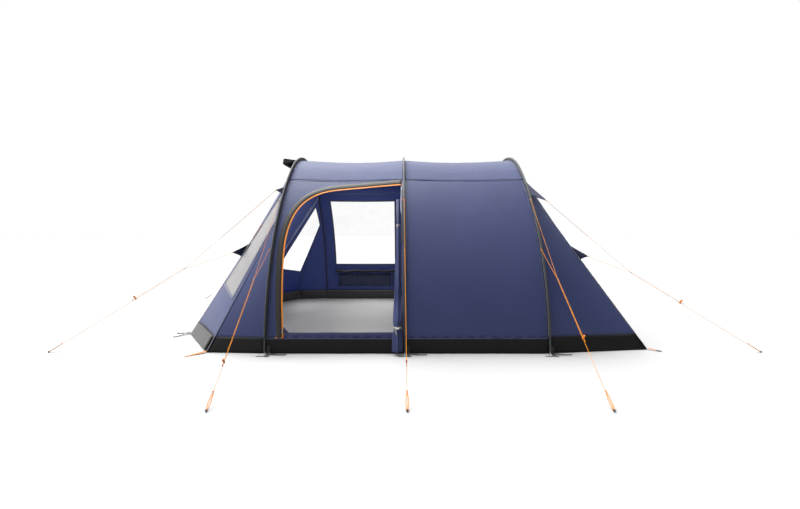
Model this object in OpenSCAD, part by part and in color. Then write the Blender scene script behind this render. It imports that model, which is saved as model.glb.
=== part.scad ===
// Tunnel tent for a family: three arched poles, a flysheet of sewn panels with a living
// room in the front bay, an inner tent in the rear bay, and ten adjustable guylines.
// Millimetres, +Z up. X runs along the tunnel with the front at -X, and the door is on
// the -Y side. The origin is on the ground below the middle of the whole footprint.

/* [Arches] */
// Half width of the tunnel at the ground, on the pole's centreline
half_w = 1350; // [1250:10:1450]
// Height of the pole's centreline at the ridge
ridge_h = 1950; // [1850:10:2050]
// Radius of the poles' top arc
top_r = 850; // [800:10:900]
// Front pole's place along the tunnel
front_x = -1210; // [-1300:10:-1150]
// Rear pole's place along the tunnel
rear_x = 1250; // [1200:10:1300]

/* [Poles and sleeves] */
// Outer radius of the poles
pole_r = 5.5; // [5:0.5:6]
// Inner radius of the poles
pole_bore_r = 3.5; // [3:0.5:4]
// Radius of the elastic cord inside the poles
shock_r = 1.3; // [1:0.1:1.5]
// Outer radius of the pole sleeves
sleeve_r = 9; // [9:0.5:10]

/* [Flysheet] */
// How far the fabric's outer face lies inside the pole's centreline
fly_drop = 30; // [28:1:40]
// Thickness of a fabric panel
cloth_t = 4; // [3:0.5:5]
// Height of the dark skirt round the hem
skirt_h = 130; // [120:5:150]
// Height of the side seam, where wall meets roof
eave_h = 1600; // [1550:10:1650]
// Gap left at a seam between neighbouring panels
seam_gap = 1; // [0.5:0.5:2]

/* [Doorway] */
// Left edge of the doorway
door_x = -1060; // [-1080:5:-1000]
// Bottom of the doorway
door_z = 180; // [170:5:220]
// Width of the zip tape
zip_w = 8; // [6:1:10]
// Width of the rain strip beside the zip
strip_w = 50; // [40:5:60]

/* [Guylines] */
// Radius of the guylines
line_r = 1.5; // [1:0.25:2]
// Distance between a runner's two holes
runner_pitch = 10; // [9:0.5:12]
// Clearance of the line in the runner's holes
runner_gap = 0.6; // [0.4:0.1:1]

/* [Hidden] */
$fn = 32;
arc_fn = 240;
near = -1;
far = 1;

cloth = [0.29, 0.32, 0.47];
cloth_light = [0.62, 0.66, 0.80];
skirt_col = [0.16, 0.16, 0.15];
sleeve_col = [0.30, 0.31, 0.32];
orange = [0.94, 0.58, 0.15];
black = [0.06, 0.06, 0.06];
clear_col = [0.85, 0.88, 0.90, 0.6];
inner_col = [0.72, 0.72, 0.70];

// ---- arch geometry: two side arcs and a top arc that meet tangentially ----
side_r = (half_w * half_w + ridge_h * ridge_h - 2 * ridge_h * top_r) / (2 * (half_w - top_r));
side_c = side_r - half_w;
join_a = atan2(ridge_h - top_r, side_c);

// Point [y, z] at angle a (0 far foot, 90 ridge, 180 near foot), off outside the pole line
function arc_pt(a, off) =
    a > 90 ? let (p = arc_pt(180 - a, off)) [-p[0], p[1]]
    : a < join_a ? [(side_r + off) * cos(a) - side_c, (side_r + off) * sin(a)]
    : [(top_r + off) * cos(a), ridge_h - top_r + (top_r + off) * sin(a)];
function angle_at(z, off) = asin(z / (side_r + off));
function lerp(a, b, t) = a + (b - a) * t;
function unit(v) = v / norm(v);

fly_off = -fly_drop;
in_off = fly_off - cloth_t;
a_skirt = angle_at(skirt_h, fly_off);
a_eave = angle_at(eave_h, fly_off);

module along_x(x0, x1) {
    translate([x0, 0, 0]) rotate([90, 0, 90]) linear_extrude(x1 - x0) children();
}

// Strip of the arch's shape between two angles and two offsets
module band2d(a0, a1, off0, off1, steps = 16) {
    da = (a1 - a0) / steps;
    polygon(concat([for (i = [0:steps]) arc_pt(a0 + i * da, off1)],
        [for (i = [steps:-1:0]) arc_pt(a0 + i * da, off0)]));
}

module wall(a0, a1, x0, x1, off0 = in_off, off1 = fly_off, steps = 16) {
    along_x(x0, x1) band2d(a0, a1, off0, off1, steps);
}

// A round or profiled tube that follows one side arc (side = far or near) or the top arc
module side_arc(x, side, a0, a1) {
    mirror([0, side < 0 ? 1 : 0, 0]) translate([x, -side_c, 0]) rotate([90, 0, 90])
        rotate([0, 0, a0]) rotate_extrude(angle = a1 - a0, $fn = arc_fn)
            translate([side_r, 0]) children();
}
module top_arc(x, a0, a1) {
    translate([x, 0, ridge_h - top_r]) rotate([90, 0, 90])
        rotate([0, 0, a0]) rotate_extrude(angle = a1 - a0, $fn = arc_fn)
            translate([top_r, 0]) children();
}
module ring2d(r_out, r_in) {
    difference() {
        circle(r_out, $fn = 24);
        circle(r_in, $fn = 24);
    }
}

// ---- poles ----
pole_foot_a = 0.7;
side_sections = 3;
top_sections = 2;
ferrule_a = 0.75;
// Angle left open between arcs that meet end to end
butt_a = 0.01;

module pole(x) {
    color("silver") {
        step = (join_a - pole_foot_a) / side_sections;
        for (s = [near, far], i = [0:side_sections - 1])
            side_arc(x, s, pole_foot_a + i * step + butt_a, pole_foot_a + (i + 1) * step - butt_a)
                ring2d(pole_r, pole_bore_r);
        top_step = (180 - 2 * join_a) / top_sections;
        for (i = [0:top_sections - 1])
            top_arc(x, join_a + i * top_step + butt_a, join_a + (i + 1) * top_step - butt_a)
                ring2d(pole_r, pole_bore_r);
    }
}
module front_pole() { pole(front_x); }
module middle_pole() { pole(0); }
module rear_pole() { pole(rear_x); }

module pole_ferrules() {
    step = (join_a - pole_foot_a) / side_sections;
    color("gray") for (x = [front_x, 0, rear_x]) {
        for (s = [near, far], i = [1:side_sections - 1])
            side_arc(x, s, pole_foot_a + i * step - ferrule_a, pole_foot_a + i * step + ferrule_a)
                ring2d(pole_r + 1, pole_r + 0.05);
        top_arc(x, 90 - 2 * ferrule_a, 90 + 2 * ferrule_a) ring2d(pole_r + 1, pole_r + 0.05);
    }
}

// One round cord along the whole arch at x
module arch_cord(x, r, a0, a1, steps = 60, sides = 8) {
    points = [for (i = [0:steps], k = [0:sides - 1]) let (
        p = arc_pt(lerp(a0, a1, i / steps), r * cos(k * 360 / sides)))
        [x + r * sin(k * 360 / sides), p[0], p[1]]];
    function id(i, k) = i * sides + k % sides;
    walls = [for (i = [0:steps - 1], k = [0:sides - 1])
        each [[id(i, k), id(i, k + 1), id(i + 1, k + 1)],
            [id(i, k), id(i + 1, k + 1), id(i + 1, k)]]];
    polyhedron(points, concat(walls, [[for (k = [sides - 1:-1:0]) k],
        [for (k = [0:sides - 1]) id(steps, k)]]));
}
module pole_shock_cords() {
    cord_a = 1.4;
    color(black) for (x = [front_x, 0, rear_x]) arch_cord(x, shock_r, cord_a, 180 - cord_a);
}

sleeve_a = angle_at(skirt_h + 10, 0);
stem_w = 3;
module sleeve(x) {
    color(sleeve_col) {
        for (s = [near, far]) side_arc(x, s, sleeve_a, join_a - butt_a) sleeve2d();
        top_arc(x, join_a + butt_a, 180 - join_a - butt_a) sleeve2d();
    }
}
module sleeve2d() {
    difference() {
        union() {
            circle(sleeve_r, $fn = 24);
            translate([1 - fly_drop, -stem_w / 2]) square([fly_drop - 1, stem_w]);
        }
        circle(sleeve_r - 1.5, $fn = 24);
    }
}
module front_sleeve() { sleeve(front_x); }
module middle_sleeve() { sleeve(0); }
module rear_sleeve() { sleeve(rear_x); }

// ---- pole feet: a ring and pin in each pole end, on webbing with a buckle ----
feet = [for (x = [front_x, 0, rear_x], s = [near, far]) [x, s]];
pin_r = 2.8;
ring_major = 13;
ring_minor = 2.5;
foot_y = half_w;
strap_w = 25;
strap_t = 2;

module foot_pins() {
    color("silver") for (f = feet) translate([f[0], f[1] * foot_y, 0]) {
        translate([0, 0, 6]) cylinder(h = 38, r = pin_r);
        translate([0, f[1] * (ring_major + pin_r - 1), ring_minor]) rotate_extrude($fn = 48)
            translate([ring_major, 0]) circle(ring_minor, $fn = 16);
        translate([-pin_r, -pin_r, 0]) cube([2 * pin_r, 2 * pin_r, 6]);
    }
}

strap_in = half_w - fly_drop + 2;
strap_dx = 18;
module foot_straps() {
    color(black) for (f = feet) mirror([0, f[1] < 0 ? 1 : 0, 0]) {
        translate([f[0] + strap_dx, strap_in, 0.2]) cube([strap_w, 60, strap_t]);
        translate([f[0] + strap_dx, strap_in, strap_t + 0.2]) cube([strap_w, strap_t, 60]);
        translate([f[0] - 60, half_w + 32, 0.2]) cube([120, 14, strap_t]);
    }
}
module foot_buckles() {
    color(black) for (f = feet) mirror([0, f[1] < 0 ? 1 : 0, 0])
        translate([f[0] + strap_dx - 4, strap_in + 4, strap_t + 0.3]) difference() {
            cube([strap_w + 8, 22, 7]);
            translate([4, 4, -1]) cube([strap_w, 5, 9]);
            translate([4, 13, -1]) cube([strap_w, 5, 9]);
        }
}

// ---- flysheet walls and roof ----
module living_roof() {
    color(cloth_light)
        wall(a_eave + 0.02, 179.98 - a_eave, front_x, -seam_gap / 2, steps = 30);
}
module bedroom_roof() {
    color(cloth_light)
        wall(a_eave + 0.02, 179.98 - a_eave, seam_gap / 2, rear_x, steps = 30);
}
a_gap = 0.02;
module side_wall(s, x0, x1) {
    if (s == far) wall(a_skirt + a_gap, a_eave - a_gap, x0, x1);
    else wall(180 - a_eave + a_gap, 180 - a_skirt - a_gap, x0, x1);
}

// Doorway outline [x, z], grown by d: a bowed side, a round shoulder and a rising head
door_head = 1545;
door_end_x = -25;
door_foot = 110;
function bezier(p, t) = pow(1 - t, 3) * p[0] + 3 * t * pow(1 - t, 2) * p[1]
    + 3 * t * t * (1 - t) * p[2] + pow(t, 3) * p[3];
door_side = [[door_x, door_z], [door_x - 16, 430], [door_x - 38, 690], [door_x - 47, 930]];
door_shoulder = [[door_x - 47, 930], [door_x - 47, 1260], [-998, 1446], [-700, 1487]];
door_top = [[-700, 1487], [-550, 1508], [-250, 1534], [door_end_x, door_head]];
door_line = concat([[door_x, door_foot]], [for (i = [0:7]) bezier(door_side, i / 8)],
    [for (i = [0:11]) bezier(door_shoulder, i / 12)], [for (i = [0:6]) bezier(door_top, i / 6)]);
function door_edge(d) = let (n = len(door_line)) [for (i = [0:n - 1])
    let (t = unit(door_line[min(n - 1, i + 1)] - door_line[max(0, i - 1)]))
    door_line[i] + d * [-t[1], t[0]]];
function above_sill(v) = [for (p = v) if (p[1] >= door_z - 1) p];
function reversed(v) = [for (i = [len(v) - 1:-1:0]) v[i]];

// Prism through the near wall from an outline given as [x, z]
module through_near(points) {
    rotate([90, 0, 0]) linear_extrude(half_w + 100) polygon(points);
}
module door_wall() {
    color(cloth) difference() {
        side_wall(near, front_x, -seam_gap / 2);
        through_near(concat([[door_end_x, door_z]], above_sill(door_edge(0))));
    }
}
// What lies on the near wall's outer face between two growths of the door outline
proud = 0.6;
module on_door_edge(d0, d1, thick, z_from) {
    intersection() {
        wall(180 - a_eave, 180 - angle_at(z_from, fly_off), front_x + 5, door_end_x - 1,
            fly_off + proud, fly_off + proud + thick, 24);
        through_near(concat(door_edge(d1), reversed(door_edge(d0))));
    }
}
module door_zip() { color(orange) on_door_edge(1, 1 + zip_w, 1.5, skirt_h + 5); }
module door_rain_strip() {
    color(sleeve_col) on_door_edge(3 + zip_w, 3 + zip_w + strip_w, 2.5, skirt_h + 5);
}

// Zip slider: it climbs the straight side of the door along the wall's own arc
slider_a = angle_at(door_z + 25, fly_off);
module door_zip_slider() {
    color("silver") translate([door_x - 2 - zip_w / 2, side_c, 0]) rotate([-slider_a, 0, 0])
        translate([0, -side_r, 0]) {
            translate([-5, fly_drop - 8.7, -8]) cube([10, 5.5, 16]);
            translate([-1.5, fly_drop - 10, -3]) cube([3, 2.2, 10]);
            translate([-3, fly_drop - 12, -34]) cube([6, 2, 36]);
        }
}

// Far wall with its window
win_x = [-1040, -125];
win_z = [560, 1500];
module win_prism(grow) {
    translate([win_x[0] - grow, 400, win_z[0] - grow])
        cube([win_x[1] - win_x[0] + 2 * grow, half_w, win_z[1] - win_z[0] + 2 * grow]);
}
module window_wall() {
    color(cloth) difference() {
        side_wall(far, front_x, -seam_gap / 2);
        win_prism(0);
    }
}
module far_window() {
    color(clear_col) intersection() {
        wall(angle_at(win_z[0], fly_off) - 1, a_eave, win_x[0] - 20, win_x[1] + 20,
            in_off + 1.5, in_off + 3, 24);
        win_prism(-0.5);
    }
}
module bedroom_near_wall() { color(cloth) side_wall(near, seam_gap / 2, rear_x); }
module bedroom_far_wall() { color(cloth) side_wall(far, seam_gap / 2, rear_x); }

module window_curtain() {
    roll_r = 26;
    z = 446;
    y = arc_pt(angle_at(z, in_off), in_off)[0] - roll_r - 3;
    color(black) translate([win_x[0] - 30, y, z]) rotate([0, 90, 0])
        cylinder(h = win_x[1] - win_x[0] + 60, r = roll_r);
}
module storage_pocket() {
    color(cloth) wall(angle_at(200, in_off), angle_at(385, in_off), -1000, -190,
        in_off - 10, in_off - 1, 4);
}

// ---- sloping panels of the two ends ----
arch_gap = 8;
end_off = in_off - 2;
hem_front = [[-1740, 1320 - fly_drop], [-2210, 710]];
hem_back = [2180, 1240 - fly_drop];
a_front_gusset = 31;
a_front_centre = 42;
a_back = 42.5;

function at_arch(x, a, off) = let (p = arc_pt(a, off)) [x, p[0], p[1]];
function ground(p, s) = [p[0], s * p[1], 0];
function grid(f, u0, u1, nu, v0, v1, nv) =
    [for (i = [0:nv]) [for (j = [0:nu]) f(lerp(u0, u1, j / nu), lerp(v0, v1, i / nv))]];

// Cloth of thickness t behind a grid of points; hole = [row0, row1, col0, col1] is left open
module sheet(p, t, hole = [0, 0, 0, 0]) {
    rows = len(p);
    cols = len(p[0]);
    n = rows * cols;
    function cl(i, m) = max(0, min(m - 1, i));
    function normal(i, j) = unit(cross(p[i][cl(j + 1, cols)] - p[i][cl(j - 1, cols)],
        p[cl(i + 1, rows)][j] - p[cl(i - 1, rows)][j]));
    function cell(i, j) = i >= 0 && j >= 0 && i < rows - 1 && j < cols - 1
        && !(i >= hole[0] && i < hole[1] && j >= hole[2] && j < hole[3]);
    function id(i, j) = i * cols + j;
    function quad(a, b, c, d) = [[a, b, c], [a, c, d]];
    function edge(a, b) = quad(b, a, a + n, b + n);
    points = concat([for (i = [0:rows - 1], j = [0:cols - 1]) p[i][j]],
        [for (i = [0:rows - 1], j = [0:cols - 1]) p[i][j] - t * normal(i, j)]);
    faces = [for (i = [0:rows - 2], j = [0:cols - 2]) if (cell(i, j)) each concat(
        quad(id(i, j), id(i, j + 1), id(i + 1, j + 1), id(i + 1, j)),
        quad(n + id(i, j), n + id(i + 1, j), n + id(i + 1, j + 1), n + id(i, j + 1)),
        cell(i - 1, j) ? [] : edge(id(i, j), id(i, j + 1)),
        cell(i, j + 1) ? [] : edge(id(i, j + 1), id(i + 1, j + 1)),
        cell(i + 1, j) ? [] : edge(id(i + 1, j + 1), id(i + 1, j)),
        cell(i, j - 1) ? [] : edge(id(i + 1, j), id(i, j)))];
    used = [for (f = faces) reversed(f)];
    polyhedron(points, used);
}

// Panel between a hem line b0-b1 and the arch from a0 to a1, from height h up to the arch
function panel_fn(b0, b1, x, a0, a1, off, h) = function (u, w)
    let (b = lerp(b0, b1, u), t = at_arch(x, lerp(a0, a1, u), off))
    lerp(lerp(b, t, h / t[2]), t, w);
// Gusset between the arch's leg (up to angle a1) and the seam that runs from hem point b
function leg_fn(x, a0, a1, off) = function (w) at_arch(x, lerp(a0, a1, w), off);
function seam_fn(b, t) = function (w) lerp(b, t, w);
function gusset_fn(left, right) = function (u, w)
    let (g = edge_gap / norm(left(w) - right(w))) lerp(left(w), right(w), lerp(g, 1 - g, u));

edge_gap = 2.5;
u_gap = 0.004;
wide_gap = 0.0025;
gusset_top = 0.96;
fx = front_x - arch_gap;
rx = rear_x + arch_gap;
B_far = ground(hem_front[1], far);
B_near = ground(hem_front[1], near);
A_far = ground(hem_front[0], far);
A_near = ground(hem_front[0], near);
C_near = ground(hem_back, near);
C_far = ground(hem_back, far);

function front_panel_fn(h) =
    panel_fn(A_far, B_far, fx, a_front_gusset, a_front_centre, end_off, h);
function front_centre_fn(h) =
    panel_fn(B_far, B_near, fx, a_front_centre, 180 - a_front_centre, end_off, h);
function front_near_fn(h) =
    panel_fn(B_near, A_near, fx, 180 - a_front_centre, 180 - a_front_gusset, end_off, h);
function front_gusset_fn(s) = let (
    leg = leg_fn(fx, s == far ? 0 : 180, s == far ? a_front_gusset : 180 - a_front_gusset, end_off),
    seam = seam_fn(s == far ? A_far : A_near, leg(1)))
    s == far ? gusset_fn(leg, seam) : gusset_fn(seam, leg);
function back_gusset_fn(s) = let (
    leg = leg_fn(rx, s == far ? 0 : 180, s == far ? a_back : 180 - a_back, end_off),
    seam = seam_fn(s == far ? C_far : C_near, leg(1)))
    s == far ? gusset_fn(seam, leg) : gusset_fn(leg, seam);
function back_panel_fn(h) =
    panel_fn(C_near, C_far, rx, 180 - a_back, a_back, end_off, h);

// Share of a gusset's height that the skirt takes
function skirt_w(a) = skirt_h / ((side_r + end_off) * sin(a));
above = skirt_h + 1.5;

module gusset(f, a, col = cloth) {
    color(col) sheet(grid(f, 0, 1, 6, skirt_w(a) + 0.001, gusset_top, 12), cloth_t);
}
win_hole = [6, 19, 1, 7];
module front_near_panel() {
    color(cloth)
        sheet(grid(front_near_fn(above), u_gap, 1 - u_gap, 8, 0, 0.999, 20), cloth_t, win_hole);
}
module front_far_panel() {
    color(cloth)
        sheet(grid(front_panel_fn(above), u_gap, 1 - u_gap, 8, 0, 0.999, 20), cloth_t, win_hole);
}
module front_near_window() {
    color(clear_col)
        sheet(grid(front_near_fn(above), 0.129, 0.871, 6, 0.302, 0.946, 13), 1.5);
}
module front_far_window() {
    color(clear_col)
        sheet(grid(front_panel_fn(above), 0.129, 0.871, 6, 0.302, 0.946, 13), 1.5);
}
vent_hole = [15, 17, 7, 13];
module front_centre_panel() {
    color(cloth_light)
        sheet(grid(front_centre_fn(above), wide_gap, 1 - wide_gap, 20, 0, 0.999, 18), cloth_t,
            vent_hole);
}
module vent_mesh() {
    color(black) sheet(grid(front_centre_fn(above), 0.352, 0.648, 6, 0.834, 0.943, 3), 1);
}
module front_near_gusset() { gusset(front_gusset_fn(near), a_front_gusset); }
module front_far_gusset() { gusset(front_gusset_fn(far), a_front_gusset); }
module back_near_gusset() { gusset(back_gusset_fn(near), a_back); }
module back_far_gusset() { gusset(back_gusset_fn(far), a_back); }
module back_panel() {
    color(cloth)
        sheet(grid(back_panel_fn(above), wide_gap, 1 - wide_gap, 20, 0, 0.999, 12), cloth_t);
}

// ---- skirts ----
module side_skirts() {
    color(skirt_col) for (x = [[front_x, -seam_gap / 2], [seam_gap / 2, rear_x]]) {
        wall(0, a_skirt - a_gap, x[0], x[1], steps = 2);
        wall(180 - a_skirt + a_gap, 180, x[0], x[1], steps = 2);
    }
}
module skirt_panel(f, cols, gap = u_gap) {
    sheet(grid(f, gap, 1 - gap, cols, 0, 1, 2), cloth_t);
}
// Skirt part of a panel: the same sheet as the panel, from the ground to the skirt's top
function skirt_fn(b0, b1, x, a0, a1) = function (u, w)
    let (b = lerp(b0, b1, u), t = at_arch(x, lerp(a0, a1, u), end_off))
    lerp(b, t, (cloth_t / 2 + w * (skirt_h - cloth_t / 2)) / t[2]);
module end_skirts() {
    color(skirt_col) {
        skirt_panel(skirt_fn(A_far, B_far, fx, a_front_gusset, a_front_centre), 8);
        skirt_panel(skirt_fn(B_far, B_near, fx, a_front_centre, 180 - a_front_centre), 20, wide_gap);
        skirt_panel(skirt_fn(B_near, A_near, fx, 180 - a_front_centre, 180 - a_front_gusset), 8);
        skirt_panel(skirt_fn(C_near, C_far, rx, 180 - a_back, a_back), 20, wide_gap);
        for (s = [near, far]) {
            sheet(grid(front_gusset_fn(s), 0, 1, 4, 0.002, skirt_w(a_front_gusset), 2), cloth_t);
            sheet(grid(back_gusset_fn(s), 0, 1, 4, 0.002, skirt_w(a_back), 2), cloth_t);
        }
    }
}

// ---- door, rolled along the middle pole, and its two ties ----
door_roll_r = 34;
door_roll_x = -62;
door_inset = fly_drop + cloth_t + door_roll_r + 3;
// Its foot hangs out over the sill
function eased(t) = let (c = max(0, min(1, t))) c * c * (3 - 2 * c);
function roll_pt(z) = let (off = lerp(door_roll_r - fly_drop + 6, -door_inset, eased((z - 215) / 270)))
    [door_roll_x, -arc_pt(angle_at(z, off), off)[0], z];
function roll_ring(z, r, m) = let (c = roll_pt(z), t = unit(roll_pt(z + 1) - roll_pt(z - 1)))
    [for (k = [0:m - 1]) c + r * (cos(360 * k / m) * [1, 0, 0] + sin(360 * k / m) * [0, t[2], -t[1]])];
module along_roll(heights, r) {
    m = 24;
    n = len(heights);
    polyhedron([for (z = heights) each roll_ring(z, r, m)], concat(
        [for (i = [0:n - 2], k = [0:m - 1]) let (a = i * m + k, b = i * m + (k + 1) % m)
            each [[a, b + m, b], [a, a + m, b + m]]],
        [[for (k = [0:m - 1]) k]], [[for (k = [m - 1:-1:0]) (n - 1) * m + k]]));
}
module side_door() {
    color(cloth) along_roll([for (i = [0:34]) lerp(34, 1390, i / 34)], door_roll_r);
}
module door_ties() {
    color([0.75, 0.73, 0.68]) for (z = [235, 1120]) difference() {
        along_roll([z - 8, z + 8], door_roll_r + 2.8);
        along_roll([z - 10, z, z + 10], door_roll_r + 1.4);
    }
}

// ---- vent hood over the ridge of the front end, and the prop that holds it open ----
hood_hinge = [front_x - 26, ridge_h - 38];
hood_len = 190;
hood_half = 170;
hood_rise = 8;
hood_t = 4;
hood_drop = 74;
// A curved top with a valance along its lip and down its two sides
module vent_hood() {
    steps = 12;
    edge = [for (i = [0:steps]) let (y = lerp(-hood_half, hood_half, i / steps))
        [y, hood_t - y * y / 2 / (top_r - 30)]];
    color(sleeve_col) translate([hood_hinge[0], 0, hood_hinge[1]]) rotate([0, hood_rise, 0])
        translate([-hood_len, 0, 0]) rotate([90, 0, 90]) linear_extrude(hood_len)
            polygon(concat([for (p = edge) p + [0, hood_t]], reversed(edge)));
    color(sleeve_col) translate([hood_hinge[0], 0, hood_hinge[1]]) rotate([0, hood_rise, 0]) {
        translate([-hood_len, 0, 0]) rotate([90, 0, 90]) linear_extrude(hood_t)
            polygon(concat([for (p = edge) p + [0, hood_t / 2]], [[hood_half, -hood_drop],
                [-hood_half, -hood_drop]]));
        for (s = [-1, 1]) translate([0, s * (hood_half - hood_t / 2) + hood_t / 2, 0]) rotate([90, 0, 0])
            linear_extrude(hood_t) polygon([[-30, -11.5], [-hood_len + 1, -11.5],
                [-hood_len + 1, -hood_drop], [-30, -18]]);
    }
    color(sleeve_col) translate([hood_hinge[0], 0, hood_hinge[1]]) rotate([90, 0, 0])
        cylinder(h = 90, r = 4.5, center = true);
}
prop_pivot = [front_x - 56.5, ridge_h - 118];
prop_len = 108;
prop_lean = 35.6;
module vent_prop() {
    color(black) translate([prop_pivot[0], 0, prop_pivot[1]]) rotate([0, -prop_lean, 0]) {
        translate([-2.5, -9, 0]) cube([5, 18, prop_len]);
        rotate([90, 0, 0]) cylinder(h = 18, r = 3, center = true);
    }
}

// ---- floors ----
floor_t = 3;
tub_h = 140;
module tub(points, inner_points) {
    linear_extrude(floor_t) polygon(points);
    translate([0, 0, floor_t]) linear_extrude(tub_h - floor_t) difference() {
        polygon(points);
        polygon(inner_points);
    }
}
function half_plan(p) = concat(p, reversed([for (q = p) [q[0], -q[1]]]));
living_plan = [[-40, 1290], [front_x, 1290], [-1620, 1250], [-2090, 650]];
living_inner = [[-44, 1286], [front_x, 1286], [-1618, 1246], [-2086, 648]];
module groundsheet() {
    color([0.55, 0.55, 0.55]) tub(half_plan(living_plan), half_plan(living_inner));
}
bed_plan = [[46, 1250], [rear_x, 1250], [2060, 1100]];
bed_inner = [[50, 1246], [rear_x, 1246], [2056, 1097]];
module inner_floor() {
    color([0.25, 0.27, 0.35]) tub(half_plan(bed_plan), half_plan(bed_inner));
}

// ---- inner tent ----
inner_off = -110;
inner_t = 3;
inner_x0 = 46;
a_inner = angle_at(tub_h + 2, inner_off);
inner_wall_a = 42.5;
inner_hem = [2040, 1090];
module inner_shell() {
    h = tub_h + 2;
    color(inner_col) {
        wall(a_inner, 180 - a_inner, inner_x0, rear_x - 30, inner_off - inner_t, inner_off, 40);
        sheet(grid(panel_fn(ground(inner_hem, near), ground(inner_hem, far), rear_x - 28,
            180 - inner_wall_a, inner_wall_a, inner_off - 4, h), 0.001, 0.999, 16, 0, 0.999, 8), inner_t);
        for (s = [near, far]) {
            leg = leg_fn(rear_x - 28, s == far ? 0 : 180, s == far ? inner_wall_a : 180 - inner_wall_a,
                inner_off - 4);
            seam = seam_fn(ground(inner_hem, s), leg(1));
            sheet(grid(s == far ? gusset_fn(seam, leg) : gusset_fn(leg, seam), 0, 1, 5,
                0.1, gusset_top, 8), inner_t);
        }
    }
}
inner_door_w = 520;
inner_door_z = [200, 1450];
module inner_door_hole(x0, x1) {
    along_x(x0, x1) polygon(concat(
        [[-inner_door_w, inner_door_z[0]], [inner_door_w, inner_door_z[0]]],
        [for (i = [0:12]) let (a = i * 15)
            [inner_door_w * cos(a), 950 + (inner_door_z[1] - 950) * sin(a)]]));
}
module inner_front_wall() {
    color(inner_col) difference() {
        along_x(inner_x0 - 8, inner_x0 - 4) polygon(concat(
            [for (i = [0:40]) arc_pt(a_inner + i * (180 - 2 * a_inner) / 40, inner_off)]));
        inner_door_hole(inner_x0 - 20, inner_x0 + 20);
    }
}
module inner_door() {
    color(inner_col) translate([inner_x0 + 34, inner_door_w + 60, inner_door_z[0] + 20])
        cylinder(h = 900, r = 30);
}
module inner_zip_slider() {
    color("silver") translate([inner_x0 - 16, -inner_door_w - 10, inner_door_z[0] + 30]) {
        translate([2, -5, -8]) cube([5, 10, 16]);
        translate([0, -2.5, -30]) cube([2, 5, 34]);
    }
}
module inner_toggles() {
    color(black) for (a = [20, 45, 70, 90, 110, 135, 160], x = [70, 1180])
        translate(at_arch(x, a, (inner_off + in_off) / 2)) rotate([a - 90, 0, 0])
            cylinder(h = -inner_off + in_off - 6, r = 4, center = true);
}

// ---- guylines ----
// Each guy: two tips on the tent, the joining ring, the peg and the runner's distance
// from the ring as a share of the lower line
function side_guy(x, y_side, run) = [
    at_arch(x, angle_at(1360, 0), 22), at_arch(x, angle_at(890, 0), 22),
    [x, 1530, 675], [x + y_side, 2340, 0], run];
guys_far = [
    [[-1275, 860, 1475], [-1735, 795, 850], [-2060, 1070, 715], [-3120, 1290, 0], 0.377],
    side_guy(front_x - 15, 45, 0.70),
    side_guy(0, 0, 0.70),
    side_guy(rear_x - 15, -20, 0.53),
    [[1395, 890, 1373], [1752, 1000, 828], [2110, 1085, 680], [3120, 1290, 0], 0.394]];
function mirror_y(p) = [p[0], -p[1], p[2]];
function mirrored(g) = [mirror_y(g[0]), mirror_y(g[1]), mirror_y(g[2]), mirror_y(g[3]), g[4]];
guys = concat([for (g = guys_far) mirrored(g)], guys_far);

guy_ring_r = 6.5;
peg_stop = 14;
line_end_z = 8;
function guy_foot(g) = g[3] + [0, 0, line_end_z];
function guy_dir(g) = unit(guy_foot(g) - g[2]);
function guy_len(g) = norm(guy_foot(g) - g[2]);
function up_side(d) = unit([0, 0, 1] - d * d[2]);

module rod(p, q, r) {
    d = q - p;
    translate(p) rotate([0, acos(d[2] / norm(d)), atan2(d[1], d[0])])
        cylinder(h = norm(d), r = r, $fn = 16);
}
// Puts children at p with +Z along d and +X along the upward side of d
module frame_at(p, d) {
    x = up_side(d);
    y = cross(d, x);
    multmatrix([[x[0], y[0], d[0], p[0]], [x[1], y[1], d[1], p[1]], [x[2], y[2], d[2], p[2]]])
        children();
}
half_pitch = runner_pitch / 2;
runner_l = 12;
tail = 8;
module guylines() {
    color(orange) for (g = guys) {
        d = guy_dir(g);
        ring_end = g[2] - d * (guy_ring_r + line_r + 2);
        for (i = [0, 1]) {
            e = unit(g[i] - ring_end);
            rod(g[i] - e * 4, ring_end + e * 5 + (i == 0 ? [0, 0, 3.5] : [0, 0, -3.5]), line_r);
        }
        frame_at(g[2], d) {
            rotate([90, 0, 0]) rotate_extrude($fn = 32) translate([guy_ring_r, 0])
                circle(line_r, $fn = 12);
            translate([-half_pitch, 0, guy_ring_r + line_r])
                cylinder(h = guy_len(g) - guy_ring_r - line_r - peg_stop, r = line_r, $fn = 16);
            translate([half_pitch, 0, guy_ring_r + line_r])
                cylinder(h = g[4] * guy_len(g) + runner_l / 2 + tail - guy_ring_r - line_r,
                    r = line_r, $fn = 16);
        }
    }
}
module runner(i) {
    g = guys[i];
    color(orange) frame_at(g[2] + guy_dir(g) * g[4] * guy_len(g), guy_dir(g)) difference() {
        translate([-half_pitch - 6, -4.5, -runner_l / 2]) cube([42, 9, runner_l]);
        for (x = [-half_pitch, half_pitch]) translate([x, 0, -runner_l])
            cylinder(h = 2 * runner_l, r = line_r + runner_gap, $fn = 24);
    }
}
module guy_peg_heads() {
    color(black) for (g = guys) translate([g[3][0], g[3][1], 0]) {
        cylinder(h = 10, r = 4);
        translate([0, 0, 10]) cylinder(h = 3, r = 9);
    }
}
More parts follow.
